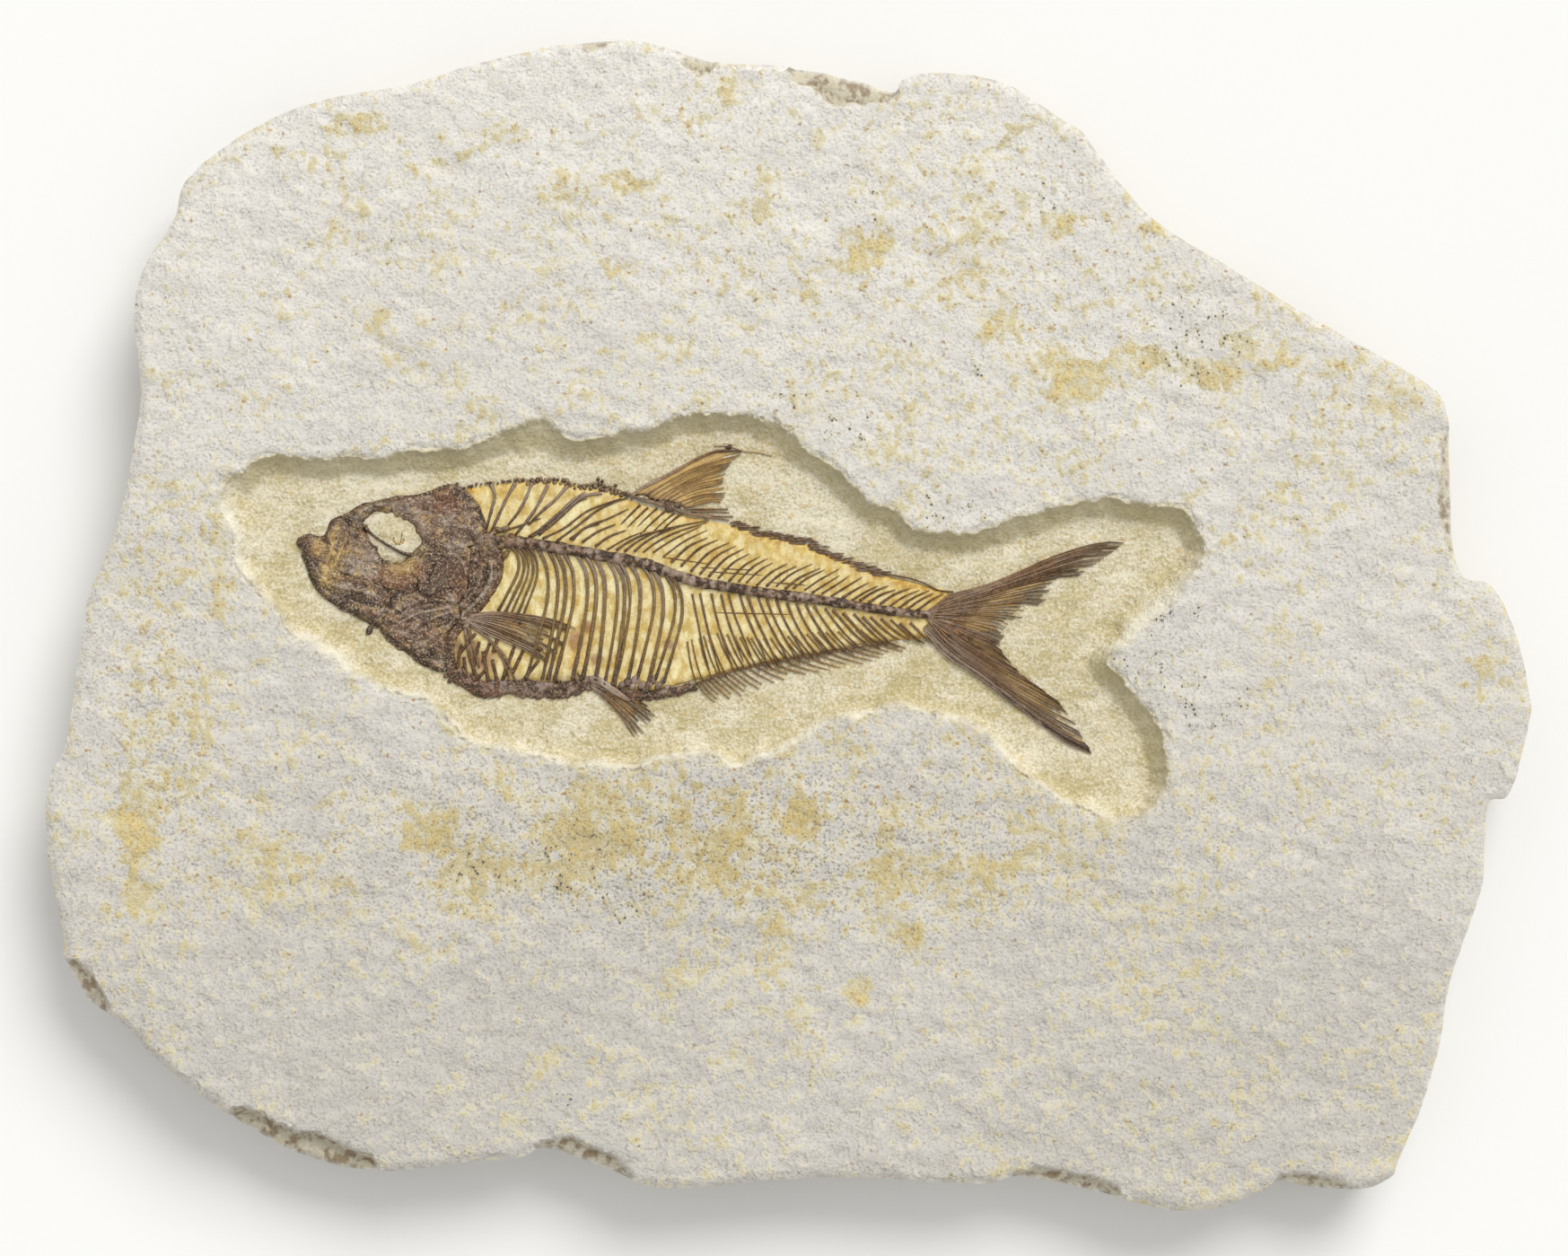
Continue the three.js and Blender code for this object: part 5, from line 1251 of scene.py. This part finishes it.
def make_keel(name, node, line, width, material):
    """One row of plates along the belly."""
    piece = Piece(BONE_TONES)

    def half_width(share, line_points):
        ends = np.interp(share, [0, 0.08, 0.9, 1], [0.3, 1, 0.9, 0.3])
        return width * ends * (0.75 + 0.5 * fractal(line_points[:, 0], line_points[:, 1], 1.6, 201, 2))

    def top_of(s, w, x, y):
        round_top = np.sqrt(np.clip(1 - w**2, 0, 1))
        return FLOOR + 0.1 + 0.7 * round_top + 0.5 * (fractal(x, y, 0.9, 202, 3) - 0.5)

    def tones_of(s, w, x, y):
        blotch = fractal(x, y, 1.0, 203, 3)
        return {
            "light": 0.8 * smoothstep(0.52, 0.68, blotch),
            "dark": 0.7 * smoothstep(0.52, 0.36, blotch) + 0.25,
            "red": 0.55 * smoothstep(0.4, 0.65, fractal(x, y, 2.2, 204, 2)),
        }

    add_ribbon(piece, line, half_width, 13, top_of, tones_of)
    for x, y in smooth_line(line, 0.55):
        tones = {"dark": rng.uniform(0.3, 0.9), "light": rng.uniform(0, 0.8), "red": rng.uniform(0, 0.4)}
        px, py = x + rng.uniform(-0.2, 0.2), y - width * rng.uniform(0.5, 1.0)
        add_bead(piece, px, py, rng.uniform(0.3, 0.5), 0.5, tones, FLOOR, 1.5, rng.uniform(-0.5, 0.9))
    for x, y in resample(smooth_line(line, 0.5), 26):
        slant = rng.uniform(-0.9, 0.5)
        length = rng.uniform(0.5, 1.1) * width
        start = np.array([x, y]) + rng.uniform(-0.5, 0.5, 2) * width
        end = start + (slant * length, length)
        tones = {"dark": rng.uniform(0.1, 0.8), "light": rng.uniform(0, 1), "red": rng.uniform(0, 0.4)}
        add_bone(piece, [start, end], 0.34, 0.5, tones, FLOOR + 0.45, ends=(0.9, 0.3))
    return piece.build(name, material, node)


def add_fan(piece, guides, count, width, height, tones, branches=2, ground=FLOOR, ragged=0.1, split=0.5):
    """Fin rays in a fan between guide lines. Each ray divides into finer ones towards its tip."""
    size = 16  # points along a ray
    for k in range(count):
        share = k / (count - 1)
        ray = between(guides, share, size)
        reach = 1.06 - 0.6 * ragged * rng.random()
        cut = max(4, int(round(size * split * rng.uniform(0.85, 1.15))))
        last = max(cut + 3, int(round(size * reach)))
        lean = dict(tones)
        if rng.random() < 0.4:
            lean["light"] = [min(1, v + 0.5) for v in lean["light"]]
        elif rng.random() < 0.5:
            lean["dark"] = [min(1, v + 0.45) for v in lean["dark"]]
        thick = width * rng.uniform(0.85, 1.15)
        add_bone(piece, ray[: cut + 1], thick, height, lean, ground, ends=(0.7, 0.9), step=0.6)
        spacing = 0.6 / max(1, count - 1)
        for b in range(branches):
            offset = (b + 0.5) / branches - 0.5
            towards = between(guides, min(1, max(0, share + offset * spacing * 1.6)), size)
            blend = np.linspace(0, 1, size - cut + 1)[:, None]
            line = ray[cut - 1 :] * (1 - blend) + towards[cut - 1 :] * blend
            line = line[: max(3, last - cut + 1 - rng.integers(0, 2))]
            fine = {tone: values[1:] if len(values) > 2 else values for tone, values in lean.items()}
            add_bone(piece, line, width * 0.5, height * 0.75, fine, ground, ends=(0.9, 0.3), step=0.6)


def make_tail(material):
    """Both halves of the tail fin."""
    piece = Piece(BONE_TONES)
    add_web(piece, UPPER_TAIL_GUIDES, 0.72, 0.2, (0.45, 0.8, 1.0), (0.2, 0.05, 0.0), columns=90, rows=26)
    add_web(piece, LOWER_TAIL_GUIDES, 0.8, 0.2, (0.45, 0.8, 1.0), (0.2, 0.05, 0.0), columns=90, rows=26)
    tones = {
        "light": (0.4, 0.4, 0.3, 0.1, 0.0),
        "dark": (0.15, 0.1, 0.05, 0.05, 0.1),
        "red": (0.1, 0.15, 0.2),
    }
    middle = [UPPER_TAIL_GUIDES[-1], LOWER_TAIL_GUIDES[0]]
    add_web(piece, middle, 0.7, 0.2, (0.3, 0.6, 0.9), (0.3, 0.2, 0.0), columns=16, rows=20)
    add_fan(piece, middle, 6, 0.34, 0.5, tones, ragged=0.2, split=0.45)
    add_fan(piece, UPPER_TAIL_GUIDES, 27, 0.25, 0.5, tones, ragged=0.3, split=0.45)
    add_fan(piece, UPPER_TAIL_GUIDES[:3], 9, 0.36, 0.6, tones, ragged=0.12, split=0.6)
    add_fan(piece, LOWER_TAIL_GUIDES, 26, 0.25, 0.5, tones, ragged=0.2, split=0.5)
    dark = {"light": (0.4, 0.25, 0.2, 0.15), "dark": (0.3, 0.4, 0.5, 0.5), "red": (0, 0.1)}
    add_fan(piece, LOWER_TAIL_GUIDES[4:], 7, 0.4, 0.65, dark, ragged=0.06, split=0.7)
    # The bones that the rays grow from spread out of the spine's end.
    for degrees in range(-52, 42, 6):
        angle = math.radians(degrees + rng.uniform(-2, 2))
        start = np.array([22.8, 1.8]) + rng.uniform(-0.3, 0.3, 2)
        end = start + rng.uniform(5.5, 8.0) * np.array([math.cos(angle), math.sin(angle)])
        root_tones = {"light": (rng.uniform(0, 0.7), 0.3, 0.1), "dark": (rng.uniform(0.1, 0.6), 0.4, 0.2)}
        add_bone(piece, [start, (start + end) / 2, end], 0.5, 0.55, root_tones, FLOOR + 0.25, ends=(0.7, 0.2))
    return piece.build("tail_rays", material, "tail_fin")


def make_dorsal(material):
    """The fin on the back."""
    piece = Piece(BONE_TONES)
    add_web(piece, DORSAL_RAYS[:10], 0.93, 0.26, (0.6, 0.95, 1.0), (0.15, 0.0, 0.0), columns=60, rows=18)
    for number, ray in enumerate(DORSAL_RAYS):
        if number == 0:
            tones = {"light": (0.6, 0.5, 0.2, 0.1, 0.1), "dark": (0.1, 0.0, 0.1, 0.4, 0.6)}
            add_bone(piece, ray, 0.66, 0.7, tones, FLOOR, GROOVED, ends=(0.9, 0.15))
            continue
        reddish = 0.5 if number > 9 else 0.1
        tones = {"light": (0.5, 0.1, 0.0), "gold": (0.0, 0.2, 0.3), "red": (0.1, reddish, reddish)}
        add_bone(piece, ray, 0.26, 0.52, tones, FLOOR, ends=(1.2, 0.3))
        if number < 9:
            halfway = (resample(ray, 8) + resample(DORSAL_RAYS[number + 1], 8)) / 2
            fine_tones = {"light": (0.2, 0.0), "gold": 0.3}
            add_bone(piece, halfway[2:], 0.15, 0.42, fine_tones, FLOOR, ends=(0.8, 0.3))
    base_tones = {"dark": (0.6, 0.3, 0.5, 0.2, 0.1), "light": (0.5, 0.3, 0.5, 0.3)}
    add_bone(piece, DORSAL_BASE, 0.7, 0.65, base_tones, FLOOR, GROOVED)
    for x, y, radius in [(-19.6, 19.8, 0.8), (-18.6, 20.2, 0.6), (-20.4, 20.4, 0.5)]:
        add_bead(piece, x, y, radius, 0.8, {"dark": 0.75, "light": 0.4}, FLOOR, 1.5, 0.4)
    add_bone(piece, SLIVER, 0.36, 0.2, {"gold": 0.4, "light": 0.8}, FLOOR, ends=(0.3, 0.2))
    add_bead(piece, -9.9, 30, 0.42, 0.3, {"dark": 0.9}, FLOOR, 1.6, 0.3)
    return piece.build("dorsal_rays", material, "dorsal_fin")


def make_pectoral(material):
    """The fin behind the gill plate."""
    piece = Piece(BONE_TONES)
    ground = FLOOR + FILM + 0.1
    gold, dark = (0.3, 0.5, 0.8), (0.3, 0.2, 0.0)
    add_web(piece, PECTORAL_GUIDES, 0.55, 0.16, gold, dark, columns=40, rows=18, ground=ground)
    tones = {"light": (0.55, 0.5, 0.3, 0.05), "dark": (0.2, 0.2, 0.15, 0.2), "red": (0, 0.15, 0.25)}
    add_fan(piece, PECTORAL_GUIDES, 13, 0.34, 0.5, tones, branches=3, ground=ground, ragged=0.5, split=0.5)
    loose_tones = {"light": (0.5, 0.3, 0.1), "dark": 0.45}
    for line in PECTORAL_LOOSE_RAYS:
        add_bone(piece, line, 0.62, 0.5, loose_tones, ground - 0.1, GROOVED, ends=(1, 0.5))
    for x, y, radius in [(-54, 0.6, 0.8), (-54.6, 1.4, 0.6), (-53.2, 1.4, 0.6), (-54.2, -0.2, 0.6)]:
        add_bead(piece, x, y, radius, 0.7, {"light": 0.6, "dark": 0.4}, ground - 0.1, 1.3, 0.5)
    return piece.build("pectoral_rays", material, "pectoral_fin")


def make_pelvic(material):
    """The small fin below the belly, with the bone that carries it."""
    piece = Piece(BONE_TONES)
    tones = {"light": (0.7, 0.5, 0.1, 0.0), "dark": (0.15, 0.15, 0.2, 0.25), "red": (0, 0.15, 0.2)}
    add_web(piece, PELVIC_GUIDES, 0.62, 0.16, (0.3, 0.6, 0.9), (0.3, 0.1, 0.0), columns=30, rows=14)
    add_fan(piece, PELVIC_GUIDES, 9, 0.3, 0.5, tones, ragged=0.35, split=0.45)
    bone_tones = {"light": (0.8, 0.9, 0.6), "dark": (0.3, 0.1, 0.2)}
    add_bone(piece, PELVIC_BONE, 1.5, 0.85, bone_tones, FLOOR, GROOVED, ends=(0.7, 0.3))
    return piece.build("pelvic_rays", material, "pelvic_fin")


def make_anal(material):
    """The long, low fin in front of the tail."""
    piece = Piece(BONE_TONES)
    tones = {
        "dark": (0.45, 0.25, 0.0),
        "light": (0.2, 0.0, 0.0),
        "red": (0.1, 0.2, 0.25),
        "gold": (0.0, 0.2, 0.7),
    }
    rays = 25
    for k in range(rays):
        line = between(ANAL_GUIDES, (k / (rays - 1)) ** 1.1, 6)
        sag = np.linspace(0, 1, 6)[:, None] ** 1.5 * (0.1, -0.7) * (k / rays)
        line = line[0] + (line - line[0] + sag) * rng.uniform(0.62, 1.02)
        add_bone(piece, line, 0.32 * rng.uniform(0.8, 1.2), 0.34, tones, FLOOR, ends=(1.5, 0.3))
    base = [guide[0] for guide in ANAL_GUIDES]
    add_bone(piece, base, 0.3, 0.42, {"dark": (0.3, 0.1, 0.2, 0.1), "red": 0.4}, FLOOR, ends=(1.1, 0.5))
    return piece.build("anal_rays", material, "anal_fin")


def linear(red, green, blue):
    """A colour given by its screen values from 0 to 255, as a shader takes it."""
    def one(value):
        value /= 255
        return value / 12.92 if value <= 0.04045 else ((value + 0.055) / 1.055) ** 2.4

    return (one(red), one(green), one(blue), 1.0)


class Shader:
    """Short calls for one material's node tree. Sizes are in millimetres."""

    def __init__(self, name, roughness):
        self.material = bpy.data.materials.new(name)
        self.material.use_nodes = True
        self.tree = self.material.node_tree
        self.tree.nodes.clear()
        self.surface = self.node("ShaderNodeBsdfPrincipled")
        self.surface.inputs["Roughness"].default_value = roughness
        output = self.node("ShaderNodeOutputMaterial")
        self.link(self.surface.outputs["BSDF"], output.inputs["Surface"])
        self.place = self.node("ShaderNodeTexCoord").outputs["Object"]

    def node(self, kind):
        return self.tree.nodes.new(kind)

    def link(self, source, target):
        self.tree.links.new(source, target)

    def value(self, name):
        attribute = self.node("ShaderNodeAttribute")
        attribute.attribute_name = name
        return attribute.outputs["Fac"]

    def position(self, size, stretch, shift):
        mapping = self.node("ShaderNodeMapping")
        mapping.inputs["Scale"].default_value = [1 / (size * MM * s) for s in stretch]
        mapping.inputs["Location"].default_value = (shift, shift * 1.7, shift * 0.3)
        self.link(self.place, mapping.inputs["Vector"])
        return mapping.outputs["Vector"]

    def noise(self, size, detail=3.0, stretch=(1, 1, 1), shift=0.0, distortion=0.0):
        texture = self.node("ShaderNodeTexNoise")
        texture.inputs["Scale"].default_value = 1.0
        texture.inputs["Detail"].default_value = detail
        texture.inputs["Distortion"].default_value = distortion
        self.link(self.position(size, stretch, shift), texture.inputs["Vector"])
        return texture.outputs["Fac"]

    def cells(self, size, shift=0.0, stretch=(1, 1, 1), bend=None):
        """Distance to the nearest cell's middle, and a random number for each cell."""
        texture = self.node("ShaderNodeTexVoronoi")
        texture.inputs["Scale"].default_value = 1.0
        place = self.position(size, stretch, shift)
        if bend is not None:
            bent = self.node("ShaderNodeVectorMath")
            self.link(place, bent.inputs[0])
            self.link(bend, bent.inputs[1])
            place = bent.outputs["Vector"]
        self.link(place, texture.inputs["Vector"])
        split = self.node("ShaderNodeSeparateColor")
        self.link(texture.outputs["Color"], split.inputs["Color"])
        return texture.outputs["Distance"], split.outputs["Red"]

    def fade(self, value, low, high):
        ramp = self.node("ShaderNodeMapRange")
        ramp.interpolation_type = "SMOOTHSTEP"
        ramp.inputs["From Min"].default_value = low
        ramp.inputs["From Max"].default_value = high
        if low > high:
            ramp.inputs["From Min"].default_value = high
            ramp.inputs["From Max"].default_value = low
            ramp.inputs["To Min"].default_value = 1.0
            ramp.inputs["To Max"].default_value = 0.0
        self.link(value, ramp.inputs["Value"])
        return ramp.outputs["Result"]

    def math(self, operation, first, second):
        sums = self.node("ShaderNodeMath")
        sums.operation = operation
        for socket, value in zip(sums.inputs, (first, second)):
            if isinstance(value, (int, float)):
                socket.default_value = value
            else:
                self.link(value, socket)
        return sums.outputs["Value"]

    def times(self, first, second):
        return self.math("MULTIPLY", first, second)

    def plus(self, first, *others):
        for other in others:
            first = self.math("ADD", first, other)
        return first

    def minus(self, first, second):
        return self.math("SUBTRACT", first, second)

    def tint(self, colour, red, green, blue, mask, most=1.0):
        """Mixes in a colour where the mask is one, up to the share given."""
        share = mask if most == 1.0 else self.times(mask, most)
        return self.mix(colour, linear(red, green, blue), share)

    def mix(self, first, second, factor, blend="MIX"):
        mixer = self.node("ShaderNodeMix")
        mixer.data_type = "RGBA"
        mixer.blend_type = blend
        mixer.clamp_factor = True
        for name, value in (("Factor_Float", factor), ("A_Color", first), ("B_Color", second)):
            socket = next(s for s in mixer.inputs if s.identifier == name)
            if isinstance(value, (int, float, tuple)):
                socket.default_value = value
            else:
                self.link(value, socket)
        return next(s for s in mixer.outputs if s.identifier == "Result_Color")

    def shade(self, colour, value, low, high):
        """Multiplies a colour by a number between low and high."""
        scaled = self.node("ShaderNodeMapRange")
        scaled.inputs["To Min"].default_value = low
        scaled.inputs["To Max"].default_value = high
        self.link(value, scaled.inputs["Value"])
        combined = self.node("ShaderNodeCombineColor")
        for socket in combined.inputs:
            self.link(scaled.outputs["Result"], socket)
        return self.mix(colour, combined.outputs["Color"], 1.0, "MULTIPLY")

    def bump(self, layers):
        """Adds fine relief from pairs of a height and its depth in millimetres."""
        normal = None
        for height, depth in layers:
            bump = self.node("ShaderNodeBump")
            bump.inputs["Distance"].default_value = depth * MM
            self.link(height, bump.inputs["Height"])
            if normal is not None:
                self.link(normal, bump.inputs["Normal"])
            normal = bump.outputs["Normal"]
        self.link(normal, self.surface.inputs["Normal"])

    def finish(self, colour, roughness=None):
        self.link(colour, self.surface.inputs["Base Color"])
        if roughness is not None:
            self.link(roughness, self.surface.inputs["Roughness"])
        return self.material


def limestone():
    """Pale granular stone. Its tones say where it is stained, rusty, specked, chipped, bed or broken side,
    and where shade and a highlight are painted on the recess wall.
    """
    stone = Shader("limestone", 0.9)
    stone.surface.inputs["Specular IOR Level"].default_value = 0.2
    grain = stone.noise(0.5, 3, shift=8.1)
    mottle = stone.noise(1.7, 5, (0.85, 1.1, 1), 9.9, 0.2)
    loose = stone.minus(mottle, 0.5)
    loose_grain = stone.minus(grain, 0.5)

    # Flakes of the split face: crooked cells, each a little higher or lower than the next.
    crooked = stone.node("ShaderNodeCombineXYZ")
    stone.link(stone.times(mottle, 2.2), crooked.inputs["X"])
    stone.link(stone.times(stone.plus(grain, mottle), -0.9), crooked.inputs["Y"])
    dome, flake = stone.cells(3.6, 4.4, (1.35, 0.85, 1), crooked.outputs["Vector"])
    own = stone.minus(flake, 0.5)
    step = stone.minus(flake, stone.times(dome, 0.5))
    lighter = stone.plus(stone.value("pale"), stone.times(loose, 0.7), stone.times(own, 0.3))
    colour = stone.mix(linear(204, 200, 192), linear(236, 233, 226), lighter)

    # Where the pale skin is off, the stone is granular: cream, ochre and olive-brown grains.
    soaked = stone.plus(
        stone.value("stain"), stone.times(loose, 2.6), stone.times(own, 0.35), stone.times(loose_grain, 0.6)
    )
    colour = stone.tint(colour, 231, 221, 182, stone.fade(soaked, 0.12, 0.75), 0.72)
    grains = stone.mix(linear(227, 214, 166), linear(188, 174, 128), stone.fade(grain, 0.42, 0.6))
    colour = stone.mix(colour, grains, stone.times(stone.fade(soaked, 0.45, 0.85), 0.55))
    hearts = stone.mix(linear(238, 220, 154), linear(204, 168, 92), stone.fade(grain, 0.46, 0.62))
    colour = stone.mix(colour, hearts, stone.times(stone.fade(soaked, 0.8, 1.2), 0.62))
    darker = stone.times(stone.fade(soaked, 0.3, 0.9), stone.value("coarse"))
    colour = stone.tint(colour, 172, 152, 98, darker, 0.34)
    pits = stone.times(stone.fade(grain, 0.46, 0.34), stone.value("coarse"))
    colour = stone.tint(colour, 128, 114, 84, pits, 0.72)

    # The cleared bed of the recess, with painted shade on its wall at the upper right and a painted highlight
    # along its lower rim.
    flecks = stone.noise(0.9, 5, (2.0, 1, 1), 5.7, 0.3)
    bed_light = stone.plus(
        stone.value("pale"),
        stone.times(loose, 1.2),
        stone.times(loose_grain, 2.2),
        stone.times(stone.minus(flecks, 0.5), 1.6),
    )
    bed_colour = stone.mix(linear(200, 186, 140), linear(236, 229, 206), bed_light)
    ochre_flecks = stone.times(stone.fade(flecks, 0.5, 0.66), stone.fade(mottle, 0.44, 0.6))
    bed_colour = stone.tint(bed_colour, 206, 180, 116, ochre_flecks, 0.7)
    colour = stone.mix(colour, bed_colour, stone.value("bed"))
    # Painted shade on the recess wall that faces away from the light, and along the inside of the rim.
    colour = stone.tint(colour, 186, 175, 136, stone.value("painted_shade"), 0.7)
    # Painted highlight along the rim that faces the light.
    colour = stone.tint(colour, 246, 241, 222, stone.value("bright"), 0.8)

    near, pick = stone.cells(1.1, 2.2, (1, 0.8, 1))
    wobbly = stone.plus(near, stone.times(grain, 0.8), stone.times(pick, 0.25))
    wanted = stone.times(stone.value("rust"), stone.fade(mottle, 0.42, 0.6))
    chosen = stone.fade(stone.minus(wanted, pick), 0.0, 0.2)
    colour = stone.tint(colour, 174, 128, 70, stone.times(stone.fade(wobbly, 0.86, 0.52), chosen), 0.7)

    side_light = stone.plus(stone.value("pale"), loose)
    side_colour = stone.mix(linear(176, 168, 148), linear(220, 216, 206), side_light)
    colour = stone.mix(colour, side_colour, stone.value("side"))
    chip_colour = stone.mix(linear(140, 116, 78), linear(204, 196, 172), stone.fade(mottle, 0.4, 0.56))
    colour = stone.mix(colour, chip_colour, stone.times(stone.value("chip"), 0.8))

    # Black specks, each in a cell of its own, on a faint bluish halo.
    dot, dot_pick = stone.cells(0.7, 6.6)
    ragged_dot = stone.plus(dot, stone.times(grain, 0.5))
    drawn = stone.times(stone.value("speck"), stone.fade(mottle, 0.53, 0.62))
    picked = stone.fade(stone.minus(stone.times(drawn, 1.15), dot_pick), 0.0, 0.08)
    colour = stone.tint(colour, 172, 175, 180, drawn, 0.24)
    colour = stone.tint(colour, 84, 86, 94, stone.times(stone.fade(ragged_dot, 0.72, 0.46), picked), 0.9)

    colour = stone.shade(colour, grain, 0.84, 1.16)
    stone.bump([(step, 0.26), (mottle, 0.5), (grain, 0.26)])
    return stone.finish(colour)


def ochre_film():
    """The mineral film of the flesh: cream to golden, with reddish and shadowed places."""
    film = Shader("ochre_film", 0.62)
    film.surface.inputs["Specular IOR Level"].default_value = 0.35
    streaks = film.noise(1.4, 5, (1, 1.6, 1), 3.3, 0.4)
    base = film.mix(linear(243, 231, 180), linear(208, 180, 104), film.fade(streaks, 0.38, 0.64))
    amber = film.fade(film.noise(1.0, 5, shift=6.1), 0.4, 0.64)
    golden = film.mix(linear(228, 198, 118), linear(190, 146, 62), amber)
    colour = film.mix(base, golden, film.value("gold"))
    colour = film.tint(colour, 150, 96, 66, film.value("red"))
    colour = film.tint(colour, 96, 72, 56, film.value("dark"))
    grain = film.noise(0.4, 4, shift=1.9)
    colour = film.shade(colour, grain, 0.76, 1.26)
    film.bump([(streaks, 0.14), (grain, 0.1)])
    return film.finish(colour)


def bone(name, brown, lilac, roughness, speckle):
    """Satin fossil bone: brown, with a purple-grey tint that is partly painted sheen, ochre and near-black
    parts by its tones.
    """
    shader = Shader(name, roughness)
    shader.surface.inputs["Specular IOR Level"].default_value = 0.5
    mottle = shader.noise(0.9, 5, shift=2.2, distortion=0.3)
    grain = shader.noise(0.32, 3, shift=5.2)
    deep = linear(*[0.78 * c for c in brown])
    bright = linear(*[1.22 * c for c in brown])
    colour = shader.mix(deep, bright, shader.fade(mottle, 0.34, 0.66))
    # The light tone mixes in the purple-grey, partly as painted sheen.
    colour = shader.tint(colour, *lilac, shader.value("light"))
    colour = shader.tint(colour, 214, 180, 108, shader.value("gold"))
    colour = shader.tint(colour, 134, 84, 52, shader.value("red"))
    colour = shader.tint(colour, 58, 40, 26, shader.value("dark"))
    colour = shader.tint(colour, 196, 178, 150, shader.fade(grain, 0.55, 0.63), speckle)
    colour = shader.tint(colour, 46, 32, 26, shader.fade(grain, 0.46, 0.38), speckle)
    shader.bump([(mottle, 0.2), (grain, 0.14)])
    rough = shader.node("ShaderNodeMapRange")
    rough.inputs["To Min"].default_value = roughness - 0.14
    rough.inputs["To Max"].default_value = roughness + 0.16
    shader.link(mottle, rough.inputs["Value"])
    return shader.finish(colour, rough.outputs["Result"])


def make_floor():
    size = 1.6
    cuts = 8
    shape = bmesh.new()
    bmesh.ops.create_grid(shape, x_segments=cuts, y_segments=cuts, size=size)
    mesh = bpy.data.meshes.new("floor")
    shape.to_mesh(mesh)
    shape.free()
    floor = bpy.data.objects.new("floor", mesh)
    floor.location.z = -0.0001
    bpy.context.scene.collection.objects.link(floor)
    paper = Shader("pale_paper", 0.85)
    paper.surface.inputs["Specular IOR Level"].default_value = 0.1
    tint = paper.mix(linear(248, 248, 246), linear(252, 252, 251), paper.noise(180, 2))
    mesh.materials.append(paper.finish(tint))


def make_lights():
    world = bpy.data.worlds.new("soft_studio")
    world.use_nodes = True
    background = world.node_tree.nodes["Background"]
    background.inputs["Color"].default_value = (1.0, 0.995, 0.99, 1.0)
    background.inputs["Strength"].default_value = 0.6
    bpy.context.scene.world = world
    # The key light comes from the upper right of the slab, as the shaded recess walls show.
    key = bpy.data.lights.new("key", "SUN")
    key.energy = 1.95
    key.angle = math.radians(34)
    key.color = (1.0, 0.99, 0.965)
    lamp = bpy.data.objects.new("key", key)
    towards = Vector((0.42, 0.78, 0.84))
    lamp.rotation_euler = towards.to_track_quat("Z", "Y").to_euler()
    bpy.context.scene.collection.objects.link(lamp)


def make_camera():
    """Straight above the slab, with the whole photograph's width in the frame."""
    frame_width = 263.6
    distance = 900.0
    sensor = 36.0
    camera_data = bpy.data.cameras.new("camera")
    camera_data.sensor_width = sensor
    camera_data.lens = sensor * distance / frame_width
    camera_data.clip_end = 20
    camera = bpy.data.objects.new("camera", camera_data)
    camera.location = (-0.6 * MM, -0.5 * MM, (SLAB_TOP + distance) * MM)
    bpy.context.scene.collection.objects.link(camera)
    bpy.context.scene.camera = camera


bpy.context.scene.view_settings.view_transform = "Standard"
stone = limestone()
head = bone("head_bone", (106, 77, 53), (174, 160, 144), 0.36, 0.64)
rib = bone("rib_bone", (104, 73, 34), (168, 148, 134), 0.4, 0.2)
scale = bone("scale_bone", (118, 88, 62), (170, 152, 142), 0.42, 0.45)
fin = bone("fin_bone", (152, 112, 66), (190, 172, 154), 0.4, 0.24)

make_slab(stone)
make_film(ochre_film())
make_backbone(rib)
make_head_piece("skull_bones", "skull", [SKULL_OUTLINE, EYE_OPENING], 1.1, 401, head, eye_marks)
make_head_piece("lower_jaw_bones", "lower_jaw", [LOWER_JAW_OUTLINE], 0.95, 421, head, loose_pebble)
make_head_piece("throat_plates", "throat", [THROAT_OUTLINE], 0.85, 441, head)
make_head_piece("gill_cover_bone", "gill_cover", [GILL_COVER_OUTLINE], 1.15, 461, head)
make_head_piece("shoulder_bones", "shoulder_girdle", [SHOULDER_OUTLINE], 1.0, 481, head)
make_scutes(scale)
make_keel("front_keel_scutes", "front_belly_scutes", FRONT_KEEL, 1.5, scale)
make_keel("rear_keel_scutes", "rear_belly_scutes", REAR_KEEL, 0.7, scale)
make_dorsal(fin)
make_pectoral(fin)
make_pelvic(fin)
make_anal(fin)
make_tail(fin)
make_floor()
make_lights()
make_camera()
